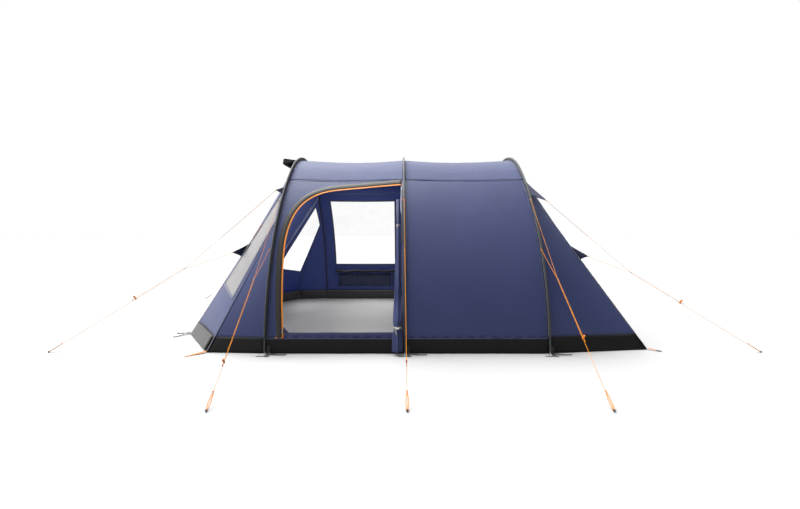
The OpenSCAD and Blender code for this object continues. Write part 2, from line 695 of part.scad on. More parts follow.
// A webbing tab from its root edge out to the tip where a line is tied
module tab(top, bottom, tip) {
    n = unit(cross(tip - bottom, top - bottom)) * 1.5;
    tip_up = [0, 0, 6];
    a = [top, bottom, tip - tip_up, tip + tip_up];
    polyhedron(concat([for (p = a) p + n], [for (p = a) p - n]),
        [[3, 2, 1, 0], [4, 5, 6, 7], [0, 1, 5, 4], [1, 2, 6, 5], [2, 3, 7, 6], [3, 0, 4, 7]]);
}
tab_tip = 7;
module guy_tabs() {
    for (g = guys) {
        s = sign(g[3][1]);
        is_side = abs(g[2][0]) < 1500;
        for (i = [0, 1]) {
            tip = g[i] + unit(g[i] - g[2]) * tab_tip;
            if (is_side) {
                a = angle_at(g[i][2] - 8, 0);
                ends = [for (da = [0.25, -0.25]) let (p = at_arch(g[i][0], a + da, sleeve_r + 2))
                    [p[0], s * p[1], p[2]]];
                color(orange) tab(ends[0], ends[1], tip);
            } else {
                front = g[2][0] < 0;
                hem = front ? ground(hem_front[1], s) : ground(hem_back, s);
                top_a = front ? a_front_centre : a_back;
                head = at_arch(front ? fx : rx, s == far ? top_a : 180 - top_a, end_off);
                x = front ? fx - 3 : rx + 3;
                from = front ? [1540, 1450] : [1607, 1432];
                root = i == 0
                    ? [for (z = from) let (a = angle_at(z, 0)) at_arch(x, s == far ? a : 180 - a, -24)]
                    : [for (z = front ? [935, 805] : [925, 790]) lerp(hem, head, z / head[2])
                        + 4 * unit([front ? -1 : 1, s * 0.8, 0.3])];
                color(cloth) tab(root[0], root[1], tip);
            }
        }
    }
}

front_pole();
middle_pole();
rear_pole();
pole_ferrules();
pole_shock_cords();
foot_pins();
foot_straps();
foot_buckles();
front_sleeve();
middle_sleeve();
rear_sleeve();
living_roof();
bedroom_roof();
door_wall();
window_wall();
bedroom_near_wall();
bedroom_far_wall();
front_near_gusset();
front_near_panel();
front_near_window();
front_centre_panel();
front_far_panel();
front_far_window();
front_far_gusset();
back_near_gusset();
back_panel();
back_far_gusset();
side_skirts();
end_skirts();
far_window();
window_curtain();
storage_pocket();
side_door();
door_ties();
door_zip();
door_rain_strip();
door_zip_slider();
vent_mesh();
vent_hood();
vent_prop();
groundsheet();
inner_shell();
inner_front_wall();
inner_floor();
inner_door();
inner_zip_slider();
inner_toggles();
guylines();
guy_tabs();
guy_peg_heads();
runner(0);  // runner_1
runner(1);  // runner_2
runner(2);  // runner_3
runner(3);  // runner_4
runner(4);  // runner_5
runner(5);  // runner_6
runner(6);  // runner_7
runner(7);  // runner_8
runner(8);  // runner_9
runner(9);  // runner_10
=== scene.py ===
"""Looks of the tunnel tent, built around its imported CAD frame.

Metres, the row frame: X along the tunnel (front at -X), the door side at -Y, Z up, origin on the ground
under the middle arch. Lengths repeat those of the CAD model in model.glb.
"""

import math

import bpy
import numpy as np
from mathutils import Matrix, Vector, geometry, noise


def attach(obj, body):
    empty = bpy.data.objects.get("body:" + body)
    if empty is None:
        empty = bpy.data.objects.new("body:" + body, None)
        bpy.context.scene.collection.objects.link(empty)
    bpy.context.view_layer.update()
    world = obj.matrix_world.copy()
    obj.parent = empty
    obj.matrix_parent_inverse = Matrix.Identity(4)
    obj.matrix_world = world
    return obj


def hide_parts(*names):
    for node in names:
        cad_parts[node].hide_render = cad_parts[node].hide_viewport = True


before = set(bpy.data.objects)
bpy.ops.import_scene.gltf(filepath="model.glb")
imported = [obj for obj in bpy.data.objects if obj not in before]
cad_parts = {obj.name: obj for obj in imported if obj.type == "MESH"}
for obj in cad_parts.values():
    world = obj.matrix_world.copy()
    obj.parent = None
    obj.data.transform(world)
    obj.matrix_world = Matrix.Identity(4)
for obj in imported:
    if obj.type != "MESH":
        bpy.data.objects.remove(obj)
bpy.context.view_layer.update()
TENT = "tent"
UP = np.array([0, 0, 1.0])

# ---- frame geometry ----
FRONT_X, MIDDLE_X, REAR_X = -1.21, 0.0, 1.25
HALF_W, RIDGE_Z, TOP_R, SIDE_R = 1.35, 1.95, 0.85, 2.31
SIDE_C = SIDE_R - HALF_W
JOIN_A = math.degrees(math.atan2(RIDGE_Z - TOP_R, SIDE_C))
FLY_OFF, SKIRT_H, EAVE_Z = -0.030, 0.13, 1.6
END_OFF = -0.036
FX, RX = FRONT_X - 0.008, REAR_X + 0.008
HEM_A, HEM_B, HEM_C = (-1.74, 1.29), (-2.21, 0.71), (2.18, 1.21)
A_GUSSET, A_CENTRE, A_BACK = 31.0, 42.0, 42.5
CLOTH, FILM, TAPE = 0.0016, 0.0006, 0.0016
WALL_TOP = 0.142


def arc_pt(a, off):
    """(y, z) at angle a in degrees, 0 at the far foot and 180 at the near one, off outside the pole."""
    if a > 90:
        y, z = arc_pt(180 - a, off)
        return -y, z
    r = math.radians(a)
    if a < JOIN_A:
        return (SIDE_R + off) * math.cos(r) - SIDE_C, (SIDE_R + off) * math.sin(r)
    return (TOP_R + off) * math.cos(r), RIDGE_Z - TOP_R + (TOP_R + off) * math.sin(r)


def angle_at(z, off=FLY_OFF):
    return math.degrees(math.asin(z / (SIDE_R + off)))


def at_arch(x, a, off):
    y, z = arc_pt(a, off)
    return np.array([x, y, z])


def arch_out(a):
    """Outward unit normal of the arch at angle a."""
    r = math.radians(a)
    return np.array([0.0, math.cos(r), math.sin(r)])


def unit(v):
    v = np.array(v, float)
    return v / max(np.linalg.norm(v), 1e-12)


def lerp(a, b, t):
    return a + (b - a) * t


def smooth(t):
    t = min(1.0, max(0.0, t))
    return t * t * (3 - 2 * t)


def bulge(t, power=1.0):
    """Rises from 0 at t = 0 to 1 in the middle and falls back to 0 at t = 1."""
    return max(0.0, math.sin(math.pi * min(1, max(0, t)))) ** power


def wob(p, scale, seed=0.0):
    """Smooth noise from -1 to 1 at point p, with bumps of about 1/scale metres."""
    return noise.noise(Vector((p[0] * scale + seed, p[1] * scale - seed, p[2] * scale + 2 * seed)))


# ---- materials ----
def linear(c):
    """Linear colour of an sRGB one given as 0 to 255."""
    return tuple(((v / 255 + 0.055) / 1.055) ** 2.4 if v > 10.3 else v / 255 / 12.92 for v in c) + (1.0,)


class Mat:
    """A node material under construction; m is the material."""

    def __init__(self, name, colour, rough=0.5, metal=0.0, spec=0.5, **extra):
        self.m = bpy.data.materials.new(name)
        self.m.use_nodes = True
        self.t = self.m.node_tree
        self.p = self.t.nodes["Principled BSDF"]
        self.p.inputs["Base Color"].default_value = linear(colour)
        self.p.inputs["Roughness"].default_value = rough
        self.p.inputs["Metallic"].default_value = metal
        self.p.inputs["Specular IOR Level"].default_value = spec
        for k, v in extra.items():
            self.p.inputs[k.replace("_", " ")].default_value = v
        self.coord = self.add("ShaderNodeTexCoord").outputs["Object"]
        self.height = None

    def add(self, kind, **props):
        n = self.t.nodes.new(kind)
        for k, v in props.items():
            setattr(n, k, v)
        return n

    def link(self, a, b):
        self.t.links.new(a, b)

    def uv(self):
        """Takes patterns from the cloth's own UVs, which are in metres."""
        self.coord = self.add("ShaderNodeUVMap", uv_map="cloth").outputs["UV"]
        return self

    def noise(self, scale, detail=2.0, stretch=(1, 1, 1)):
        mp = self.add("ShaderNodeMapping")
        mp.inputs["Scale"].default_value = stretch
        self.link(self.coord, mp.inputs["Vector"])
        n = self.add("ShaderNodeTexNoise")
        n.inputs["Scale"].default_value = scale
        n.inputs["Detail"].default_value = detail
        self.link(mp.outputs["Vector"], n.inputs["Vector"])
        return n.outputs["Fac"]

    def wave(self, pitch, axis="X", shape="SIN", warp=0.0):
        n = self.add("ShaderNodeTexWave", wave_type="BANDS", bands_direction=axis, wave_profile=shape)
        n.inputs["Scale"].default_value = 0.314 / pitch
        n.inputs["Distortion"].default_value = warp
        self.link(self.coord, n.inputs["Vector"])
        return n.outputs["Fac"]

    def math(self, op, a, b=None):
        n = self.add("ShaderNodeMath", operation=op)
        for i, v in enumerate((a, b)):
            if v is None:
                continue
            if isinstance(v, (int, float)):
                n.inputs[i].default_value = v
            else:
                self.link(v, n.inputs[i])
        return n.outputs[0]

    def ramp(self, fac, lo, hi, a=0.3, b=0.7):
        n = self.add("ShaderNodeValToRGB")
        n.color_ramp.elements[0].position, n.color_ramp.elements[1].position = a, b
        n.color_ramp.elements[0].color, n.color_ramp.elements[1].color = lo, hi
        self.link(fac, n.inputs["Fac"])
        return n.outputs["Color"]

    def tint(self, fac, low, high, a=0.3, b=0.7):
        """Multiplies the base colour by low to high, as fac says."""
        mix = self.add("ShaderNodeMix", data_type="RGBA", blend_type="MULTIPLY")
        mix.inputs[0].default_value = 1.0
        base, factor, result = mix.inputs[6], mix.inputs[7], mix.outputs[2]
        socket = self.p.inputs["Base Color"]
        if socket.is_linked:
            self.link(socket.links[0].from_socket, base)
        else:
            base.default_value = socket.default_value
        lo, hi = ((*(low,) * 3, 1), (*(high,) * 3, 1)) if isinstance(low, (int, float)) else (low, high)
        self.link(self.ramp(fac, lo, hi, a, b), factor)
        self.link(result, socket)
        return self

    def roughen(self, fac, lo, hi):
        n = self.add("ShaderNodeMapRange")
        n.inputs["To Min"].default_value, n.inputs["To Max"].default_value = lo, hi
        self.link(fac, n.inputs["Value"])
        self.link(n.outputs["Result"], self.p.inputs["Roughness"])
        return self

    def bump(self, fac, metres, strength=1.0):
        n = self.add("ShaderNodeBump")
        n.inputs["Distance"].default_value = metres
        n.inputs["Strength"].default_value = strength
        self.link(fac, n.inputs["Height"])
        if self.height is not None:
            self.link(self.height, n.inputs["Normal"])
        self.height = n.outputs["Normal"]
        self.link(self.height, self.p.inputs["Normal"])
        return self

    def through(self, share, colour):
        """Lets light through the cloth."""
        tr = self.add("ShaderNodeBsdfTranslucent")
        tr.inputs["Color"].default_value = linear(colour)
        return self.mixed(tr.outputs[0], share)

    def clear(self, share, tint=(255, 255, 255)):
        """Shows what is behind; share is a number or a pattern."""
        see = self.add("ShaderNodeBsdfTransparent")
        see.inputs["Color"].default_value = linear(tint)
        return self.mixed(see.outputs[0], share)

    def mixed(self, shader, share):
        mix = self.add("ShaderNodeMixShader")
        if isinstance(share, (int, float)):
            mix.inputs["Fac"].default_value = share
        else:
            self.link(share, mix.inputs["Fac"])
        out = self.t.nodes["Material Output"].inputs["Surface"]
        self.link(out.links[0].from_socket, mix.inputs[1])
        self.link(shader, mix.inputs[2])
        self.link(mix.outputs[0], out)
        return self


def fabric(name, colour, rough=0.5, spec=0.5, weave=0.0012, sheen=0.25, crease=0.5, through=None):
    """Plain-woven cloth: weave and packing creases in the bump, dye a little uneven."""
    m = Mat(name, colour, rough, spec=spec, Sheen_Weight=sheen, Sheen_Roughness=0.4).uv()
    threads = m.math("MULTIPLY", m.wave(weave, "X"), m.wave(weave, "Y"))
    m.tint(m.noise(2.3, 4), 0.94, 1.06)
    m.tint(threads, 0.93, 1.05, 0.0, 1.0)
    m.tint(m.noise(60, 3), 0.97, 1.03)
    m.roughen(m.noise(9, 3), rough - 0.06, rough + 0.08)
    m.bump(m.noise(7, 4), 0.004 * crease)
    m.bump(m.noise(38, 3, (1, 0.35, 1)), 0.0009 * crease)
    m.bump(threads, 0.00012, 0.6)
    if through:
        m.through(*through)
    return m.m


FLY = (59, 69, 113)
M = {}
M["fly"] = fabric("fly_cloth", FLY, 0.46, 0.4, sheen=0.15, through=(0.28, (74, 106, 176)))
# The roof is the fly's own cloth painted lighter: its paler base colour stands in for the top light that
# falls on the roof. The front centre panel wears it too.
M["roof"] = fabric("roof_cloth", (70, 80, 122), 0.58, 0.4, sheen=0.40, through=(0.28, (84, 112, 180)))
M["sleeve"] = fabric("sleeve_cloth", (40, 41, 44), 0.5, 0.4, 0.0016)
M["strip"] = fabric("rain_strip_cloth", (33, 32, 29), 0.5, 0.35, 0.0016)
M["edge"] = fabric("edge_binding", (24, 24, 26), 0.6, 0.3, 0.0016)
M["skirt"] = fabric("skirt_cloth", (19, 19, 19), 0.5, 0.15, 0.0018, sheen=0.0, crease=0.9)
M["curtain"] = fabric("curtain_cloth", (24, 27, 40), 0.6, 0.25)
M["pocket"] = fabric("pocket_cloth", (36, 42, 70), 0.5, 0.35)
M["inner"] = fabric("inner_cloth", (176, 176, 172), 0.62, 0.3, 0.0010, through=(0.25, (200, 200, 196)))
M["inner_floor"] = fabric("inner_floor_cloth", (70, 76, 96), 0.42, 0.4, 0.0022, crease=1.2)
M["floor"] = fabric("groundsheet_cloth", (150, 149, 148), 0.45, 0.4, 0.0024, sheen=0.1, crease=1.4)
M["tub"] = fabric("groundsheet_wall", (52, 49, 50), 0.45, 0.35, 0.0024, crease=1.2)
M["tie"] = fabric("tie_tape", (188, 184, 176), 0.7, 0.2, 0.0015, crease=0.2)
M["hood"] = fabric("hood_cloth", (26, 27, 30), 0.5, 0.4, 0.0016, crease=0.4)
M["seam"] = fabric("seam_tape", (50, 57, 90), 0.45, 0.5, crease=0.1)
M["patch"] = fabric("foot_patch", (50, 51, 50), 0.6, 0.25, 0.0016)
M["rust"] = fabric("rust_tape", (112, 58, 40), 0.6, 0.25, 0.0016)
M["piping"] = fabric("pale_piping", (172, 176, 204), 0.55, 0.35, crease=0.1)


def webbing(name, colour):
    m = Mat(name, colour, 0.62, spec=0.3, Sheen_Weight=0.3).uv()
    ribs = m.math("MULTIPLY", m.wave(0.0022, "X"), m.wave(0.004, "Y"))
    m.tint(ribs, 0.62, 1.12, 0.0, 1.0).tint(m.noise(40, 3), 0.9, 1.06)
    return m.bump(ribs, 0.0005).m


M["webbing"] = webbing("black_webbing", (26, 26, 27))
M["webbing_orange"] = webbing("orange_webbing", (226, 128, 18))


def cord_look(name, colour):
    m = Mat(name, colour, 0.6, spec=0.2)
    braid = m.math("MAXIMUM", m.wave(0.0022, "DIAGONAL"), m.wave(0.0027, "Z"))
    m.tint(braid, 0.72, 1.1, 0.0, 1.0).tint(m.noise(30, 2), 0.9, 1.08)
    return m.bump(braid, 0.0003).m


M["line"] = cord_look("guy_cord", (214, 132, 14))
M["elastic"] = cord_look("elastic_cord", (30, 30, 32))


def plastic(name, colour, rough=0.42):
    m = Mat(name, colour, rough, spec=0.5)
    m.tint(m.noise(25, 3), 0.93, 1.05).roughen(m.noise(120, 3), rough - 0.08, rough + 0.1)
    return m.bump(m.noise(900, 2), 0.00006).m


M["buckle"] = plastic("buckle_plastic", (24, 24, 25))
M["runner"] = plastic("runner_plastic", (226, 122, 16))
M["prop"] = plastic("prop_plastic", (30, 30, 32))
M["peg"] = plastic("peg_head", (40, 40, 42))
M["toggle"] = plastic("pale_toggle", (226, 226, 222))
M["dark_toggle"] = plastic("dark_toggle", (28, 28, 30))


def metal(name, colour, rough):
    m = Mat(name, colour, rough, metal=1.0)
    m.roughen(m.noise(60, 4, (1, 1, 0.1)), rough - 0.08, rough + 0.14).tint(m.noise(14, 3), 0.86, 1.04)
    return m.bump(m.noise(300, 2, (1, 1, 0.05)), 0.00008).m


M["steel"] = metal("zinc_steel", (188, 190, 192), 0.34)
M["ferrule"] = metal("ferrule_steel", (170, 172, 175), 0.3)
M["slider"] = metal("zip_slider_metal", (150, 150, 150), 0.35)


def glass_fibre():
    m = Mat("glass_fibre", (58, 60, 63), 0.32, spec=0.5)
    m.tint(m.noise(160, 3, (1, 1, 0.04)), 0.75, 1.25)
    return m.bump(m.noise(420, 2, (1, 1, 0.03)), 0.00007).m


M["pole"] = glass_fibre()


def zip_look():
    m = Mat("zip_orange", (230, 136, 14), 0.5, spec=0.4).uv()
    ribs = m.wave(0.0018, "X")
    m.tint(ribs, 0.8, 1.08, 0.0, 1.0)
    return m.bump(ribs, 0.0002).m


M["zip"] = zip_look()
M["coil"] = plastic("zip_coil", (236, 146, 22), 0.35)


def film(name, colour, milk_and_painted_reflection, rough, tint=(255, 255, 255)):
    """Clear plastic film that is a little cloudy; made much cloudier and grey, it stands in for a painted
    reflection.
    """
    m = Mat(name, colour, rough, spec=0.5)
    m.bump(m.noise(5, 3), 0.003).bump(m.noise(26, 2, (1, 1, 0.3)), 0.0006)
    haze = m.add("ShaderNodeMapRange")
    low, high = haze.inputs["To Min"], haze.inputs["To Max"]
    low.default_value, high.default_value = 1 - milk_and_painted_reflection - 0.06, 1 - milk_and_painted_reflection + 0.06
    m.link(m.noise(4, 3), haze.inputs["Value"])
    return m.clear(haze.outputs["Result"], tint).m


M["window"] = film("window_film", (245, 246, 246), 0.04, 0.10)
# The near front window is the same clear film as the rest, painted a cloudy grey that stands in for the
# reflection of the light on it.
M["front_window"] = film("front_window_film", (214, 212, 210), 0.30, 0.3, (226, 224, 222))


def netting(name, colour):
    m = Mat(name, colour, 0.6, spec=0.2).uv()
    a, b = m.wave(0.0022, "X"), m.wave(0.0022, "Y")
    hole = m.math("MULTIPLY", m.math("LESS_THAN", a, 0.62), m.math("LESS_THAN", b, 0.62))
    return m.clear(hole).m


M["mesh"] = netting("insect_net", (22, 22, 24))


# ---- mesh helpers ----
def dressed(o, mat, slot, body):
    """Links a new object and gives it its look and the body that it rides; slot is not used."""
    bpy.context.scene.collection.objects.link(o)
    if mat:
        o.data.materials.append(M[mat])
    if body:
        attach(o, body)
    return o


def new_mesh(name, verts, faces, uvs=None, mat=None, slot=None, body=TENT, flat=False):
    """A piece from points and faces; uvs are per point, in metres."""
    me = bpy.data.meshes.new(name)
    me.from_pydata([tuple(map(float, v)) for v in verts], [], [tuple(map(int, f)) for f in faces])
    me.validate()
    if uvs is not None:
        layer = me.uv_layers.new(name="cloth")
        idx = np.zeros(len(me.loops), np.int32)
        me.loops.foreach_get("vertex_index", idx)
        layer.data.foreach_set("uv", np.asarray(uvs, np.float32)[idx].ravel())
    me.polygons.foreach_set("use_smooth", [not flat] * len(me.polygons))
    me.update()
    return dressed(bpy.data.objects.new(name, me), mat, slot, body)


def thicken(o, thick=CLOTH, offset=-1.0):
    s = o.modifiers.new("thick", "SOLIDIFY")
    s.thickness, s.offset = thick, offset
    s.use_even_offset = False
    return o


def grid_mesh(fn, us, vs):
    """Points, faces and UVs of a grid; fn(u, v) gives the point."""
    pts = np.array([[fn(u, v) for u in us] for v in vs])
    nv, nu = pts.shape[:2]
    ids = np.arange(nu * nv).reshape(nv, nu)
    faces = np.stack([ids[:-1, :-1], ids[:-1, 1:], ids[1:, 1:], ids[1:, :-1]], -1).reshape(-1, 4)
    du = np.zeros((nv, nu))
    du[:, 1:] = np.cumsum(np.linalg.norm(np.diff(pts, axis=1), axis=2), axis=1)
    dv = np.zeros((nv, nu))
    dv[1:] = np.cumsum(np.linalg.norm(np.diff(pts, axis=0), axis=2), axis=0)
    du -= du[:, -1:] / 2
    return pts.reshape(-1, 3), faces, np.stack([du.ravel(), dv.ravel()], 1)


def flip(faces):
    return [tuple(reversed(f)) for f in faces]


def area_of(verts, faces):
    v = np.asarray(verts)
    total = 0.0
    for f in faces:
        for k in range(1, len(f) - 1):
            total += np.linalg.norm(np.cross(v[f[k]] - v[f[0]], v[f[k + 1]] - v[f[0]])) / 2
    return total


def declare(flat, area=None):
    """Rounds a sheet's flat size and the area of its cut, when it is not the whole rectangle, and keeps
    neither.
    """
    size = round(flat[0], 2), round(flat[1], 2)
    if area:
        area = round(min(max(area, 0.301 * size[0] * size[1]), size[0] * size[1]), 3)


def piece(name, mesh, mat, slot, node=None, body=TENT, thick=None, **kw):
    """One piece from a mesh or a list of them; node is the CAD node that it stands for."""
    o = new_mesh(name, *(joined(mesh) if isinstance(mesh, list) else mesh), mat, slot, body, **kw)
    if thick:
        thicken(o, *thick)
    if node:
        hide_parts(node)
    return o


def cloth(name, mesh, node, mat, slot, flat, cut=True, thick=CLOTH, offset=-1.0):
    """A sheet of cloth that stands for a CAD node; cut gives its own area, not the rectangle's."""
    mesh = joined(mesh) if isinstance(mesh, list) else mesh
    o = piece(name, mesh, mat, slot, node, thick=(thick, offset))
    declare(flat, area_of(*mesh[:2]) if cut else None)


def sweep(path, side, up, profile, cap=True, closed=True):
    """Points, faces and UVs of a profile carried along a path. profile(i) gives its (side, up) points."""
    path, side, up = (np.asarray(a, float) for a in (path, side, up))
    rings, vs = [], []
    for i in range(len(path)):
        p = np.asarray(profile(i), float)
        rings.append(path[i] + p[:, :1] * side[i] + p[:, 1:2] * up[i])
        q = np.vstack([p, p[:1]])
        vs.append(np.concatenate([[0], np.cumsum(np.linalg.norm(np.diff(q, axis=0), axis=1))])[:-1])
    m, n = len(rings[0]), len(path)
    along = np.concatenate([[0], np.cumsum(np.linalg.norm(np.diff(path, axis=0), axis=1))])
    faces = []
    for i in range(n - 1):
        for k in range(m if closed else m - 1):
            k2 = (k + 1) % m
            faces.append((i * m + k, i * m + k2, (i + 1) * m + k2, (i + 1) * m + k))
    if cap and closed:
        faces += [tuple(reversed(range(m))), tuple((n - 1) * m + k for k in range(m))]
    uvs = np.stack([np.repeat(along, m), np.concatenate(vs)], 1)
    return np.concatenate(rings), faces, uvs


def joined(parts):
    """One mesh's points, faces and UVs from several."""
    verts, faces, uvs, n = [], [], [], 0
    for v, f, u in parts:
        verts.append(np.asarray(v))
        uvs.append(np.asarray(u))
        faces += [tuple(int(k) + n for k in face) for face in f]
        n += len(v)
    return np.concatenate(verts), faces, np.concatenate(uvs)


def frames(path, hint):
    """Side and up vectors along a path; up stays near hint (one vector or one per point)."""
    path = np.asarray(path, float)
    t = np.gradient(path, axis=0)
    hint = np.broadcast_to(np.asarray(hint, float), path.shape)
    side, up = [], []
    for i in range(len(path)):
        ti = unit(t[i])
        s = unit(np.cross(ti, hint[i]))
        side.append(s)
        up.append(unit(np.cross(s, ti)))
    return np.array(side), np.array(up)


def ellipse(w, h, n=10, x=0.0, y=0.0):
    a = np.arange(n) * 2 * math.pi / n
    return np.stack([x + w * np.cos(a), y + h * np.sin(a)], 1)


def band(w, t, lift=0.0):
    """Flat strap profile with rounded edges."""
    e = t * 0.45
    return np.array([(-w + e, lift), (w - e, lift), (w, lift + t / 2), (w - e, lift + t),
                     (0.4 * w, lift + t), (-0.4 * w, lift + t), (-w + e, lift + t), (-w, lift + t / 2)])


def ribbon(path, hint, w, t=0.0012, lift=0.0):
    side, up = frames(path, hint)
    return sweep(path, side, up, lambda i: band(w / 2, t, lift))


def tube(path, r, hint=(0.13, 0.2, 0.97), n=8):
    side, up = frames(path, hint)
    size = r if callable(r) else (lambda i: r)
    return sweep(path, side, up, lambda i: ellipse(size(i), size(i), n))


def rolled(path, side, up, long, radius, fold, m):
    """A cloth wound round a path: long(i) of it to radius(i); fold(a, i) flutes it at angle a."""
    path, side, up = (np.asarray(v, float) for v in (path, side, up))

    def fn(t, i):
        q, r, i = math.sqrt(lerp(0.01, 1.0, t)), radius(int(i)), int(i)
        a = 2 * long(i) / r * (q - 1)
        reach = r * q * (1 + fold(a, i))
        return path[i] + side[i] * reach * math.cos(a) + up[i] * reach * math.sin(a)

    return grid_mesh(fn, np.linspace(0, 1, m), np.arange(len(path)))


def spline(points, n):
    """n points on a smooth curve through the given ones."""
    p = np.asarray(points, float)
    p = np.vstack([2 * p[0] - p[1], p, 2 * p[-1] - p[-2]])
    out = []
    for s in np.linspace(0, len(p) - 3 - 1e-9, n):
        i, t = int(s), s - int(s)
        a, b, c, d = p[i:i + 4]
        out.append(0.5 * (2 * b + (c - a) * t + (2 * a - 5 * b + 4 * c - d) * t * t
                          + (3 * b - a - 3 * c + d) * t ** 3))
    return np.array(out)


def plate(name, outline, holes, half, bevel, place, mat, slot=None, body=TENT):
    """A moulded plate with rounded edges and real holes, from a 2D outline, at the 4x4 matrix place."""
    cu = bpy.data.curves.new(name, "CURVE")
    cu.dimensions, cu.fill_mode = "2D", "BOTH"
    cu.extrude, cu.bevel_depth, cu.bevel_resolution, cu.offset = half - bevel, bevel, 1, -bevel
    for loop in [outline, *holes]:
        s = cu.splines.new("POLY")
        s.points.add(len(loop) - 1)
        for pt, q in zip(s.points, loop):
            pt.co = (q[0], q[1], 0, 1)
        s.use_cyclic_u = True
    ob = bpy.data.objects.new(name, cu)
    bpy.context.scene.collection.objects.link(ob)
    me = bpy.data.meshes.new_from_object(ob)
    bpy.data.objects.remove(ob)
    bpy.data.curves.remove(cu)
    me.transform(place)
    me.name = name
    me.materials.clear()
    return dressed(bpy.data.objects.new(name, me), mat, slot, body)


def rounded(w, h, r, n=4):
    """Outline of a rounded rectangle, w by h, centred."""
    out = []
    for a0, sx, sy in ((0, 1, 1), (90, -1, 1), (180, -1, -1), (270, 1, -1)):
        for k in range(n + 1):
            a = math.radians(a0 + 90 * k / n)
            out.append((sx * (w / 2 - r) + r * math.cos(a), sy * (h / 2 - r) + r * math.sin(a)))
    return out


def circle(x, y, r, n=14):
    turn = [-2 * math.pi * k / n for k in range(n)]
    return [(x + r * math.cos(a), y + r * math.sin(a)) for a in turn]


def rect(u, w, g=0.0, h=0.0):
    """Corners of a rectangle over the ranges u and w, grown by g and h."""
    return [(u[0] - g, w[0] - h), (u[1] + g, w[0] - h), (u[1] + g, w[1] + h), (u[0] - g, w[1] + h)]


def axes(x, y, z, at):
    m = Matrix.Identity(4)
    for c, v in enumerate((x, y, z, at)):
        for r in range(3):
            m[r][c] = float(v[r])
    return m


# ---- camera ----
camera = bpy.data.objects.new("camera", bpy.data.cameras.new("camera"))
bpy.context.scene.collection.objects.link(camera)
camera.location = (-0.043, -4.468, 1.056)
camera.rotation_euler = (math.radians(90), 0, 0)
camera.data.sensor_width, camera.data.lens, camera.data.shift_y = 36.0, 16.32, -0.028
camera.data.clip_start, camera.data.clip_end = 0.05, 400
bpy.context.scene.camera = camera
bpy.context.scene.view_settings.view_transform = "Standard"

# ---- guylines: [upper tip, lower tip, ring, peg, runner's share] on the far side ----


def side_guy(x, y_side, run):
    return [at_arch(x, angle_at(1.36, 0), 0.022), at_arch(x, angle_at(0.89, 0), 0.022),
            np.array([x, 1.53, 0.675]), np.array([x + y_side, 2.34, 0.0]), run]


GUYS_FAR = [
    [*(np.array(p) for p in ((-1.275, 0.860, 1.475), (-1.735, 0.795, 0.850), (-2.060, 1.070, 0.715),
                             (-3.120, 1.290, 0.0))), 0.377],
    side_guy(FRONT_X - 0.015, 0.045, 0.70),
    side_guy(0.0, 0.0, 0.70),
    side_guy(REAR_X - 0.015, -0.020, 0.53),
    [*(np.array(p) for p in ((1.395, 0.890, 1.373), (1.752, 1.000, 0.828), (2.110, 1.085, 0.680),
                             (3.120, 1.290, 0.0))), 0.394]]
MIRROR = np.array([1, -1, 1])
GUYS = [[*(p * MIRROR for p in g[:4]), g[4]] for g in GUYS_FAR] + GUYS_FAR
RING_R, LINE_R, PITCH = 0.0065, 0.0015, 0.005


def guy_axes(g):
    """Peg end, direction away from the ring, upward normal and length of a line."""
    foot = g[3] + np.array([0, 0, 0.008])
    d = unit(foot - g[2])
    up = unit(UP - d * d[2])
    return foot, d, up, float(np.linalg.norm(foot - g[2]))


def cord_curve(name, points):
    cu = bpy.data.curves.new(name, "CURVE")
    cu.dimensions, cu.bevel_depth, cu.bevel_resolution = "3D", LINE_R, 2
    cu.use_fill_caps = True
    s = cu.splines.new("POLY")
    s.points.add(len(points) - 1)
    for pt, q in zip(s.points, points):
        pt.co = (*map(float, q), 1)
    o = dressed(bpy.data.objects.new(name, cu), "line", "line", TENT)
    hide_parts("guylines")
    return o


def knot(name, at, d, up, size):
    """An overhand knot: a cord wound on itself."""
    side = np.cross(d, up)
    path = []
    for k in range(40):
        a = 2 * math.pi * 2 * k / 40
        r = size * (0.55 + 0.25 * math.cos(1.5 * a))
        path.append(at + up * r * math.cos(a) + side * r * math.sin(a) + d * size * 0.8 * math.sin(1.5 * a))
    return piece(name, tube(path, LINE_R * 0.95, n=6), "line", "line")


def length_of(points):
    return float(np.linalg.norm(np.diff(np.asarray(points), axis=0), axis=1).sum())


def guy_ring(n, g, d, up):
    """The steel ring that joins the legs to the line."""
    path = [g[2] + d * RING_R * math.cos(a) + up * RING_R * math.sin(a)
            for a in np.linspace(0, 2 * math.pi, 25)[:-1]]
    return piece(f"guy_ring_{n}", tube([*path, path[0]], 0.0013, np.cross(d, up), 8), "steel", "line")


def guy_legs(n, g, side):
    """The two cords from the tabs on the tent to the ring."""
    for k, leg in enumerate(("upper", "lower")):
        e = unit(g[2] - g[k])
        start, end = g[k] - e * 0.012, g[2] - e * (RING_R + 0.001)
        drop = 0.006 if k else 0.004
        pts = [lerp(start, end, t) - UP * (drop * 4 * t * (1 - t)) for t in np.linspace(0, 1, 17)]
        leg_o = cord_curve(f"guy_{n}_{leg}_leg", pts)
        tie = knot(f"guy_{n}_{leg}_knot", g[k] + e * 0.012, e, unit(np.cross(e, side)), 0.0045)
        tuple(start)


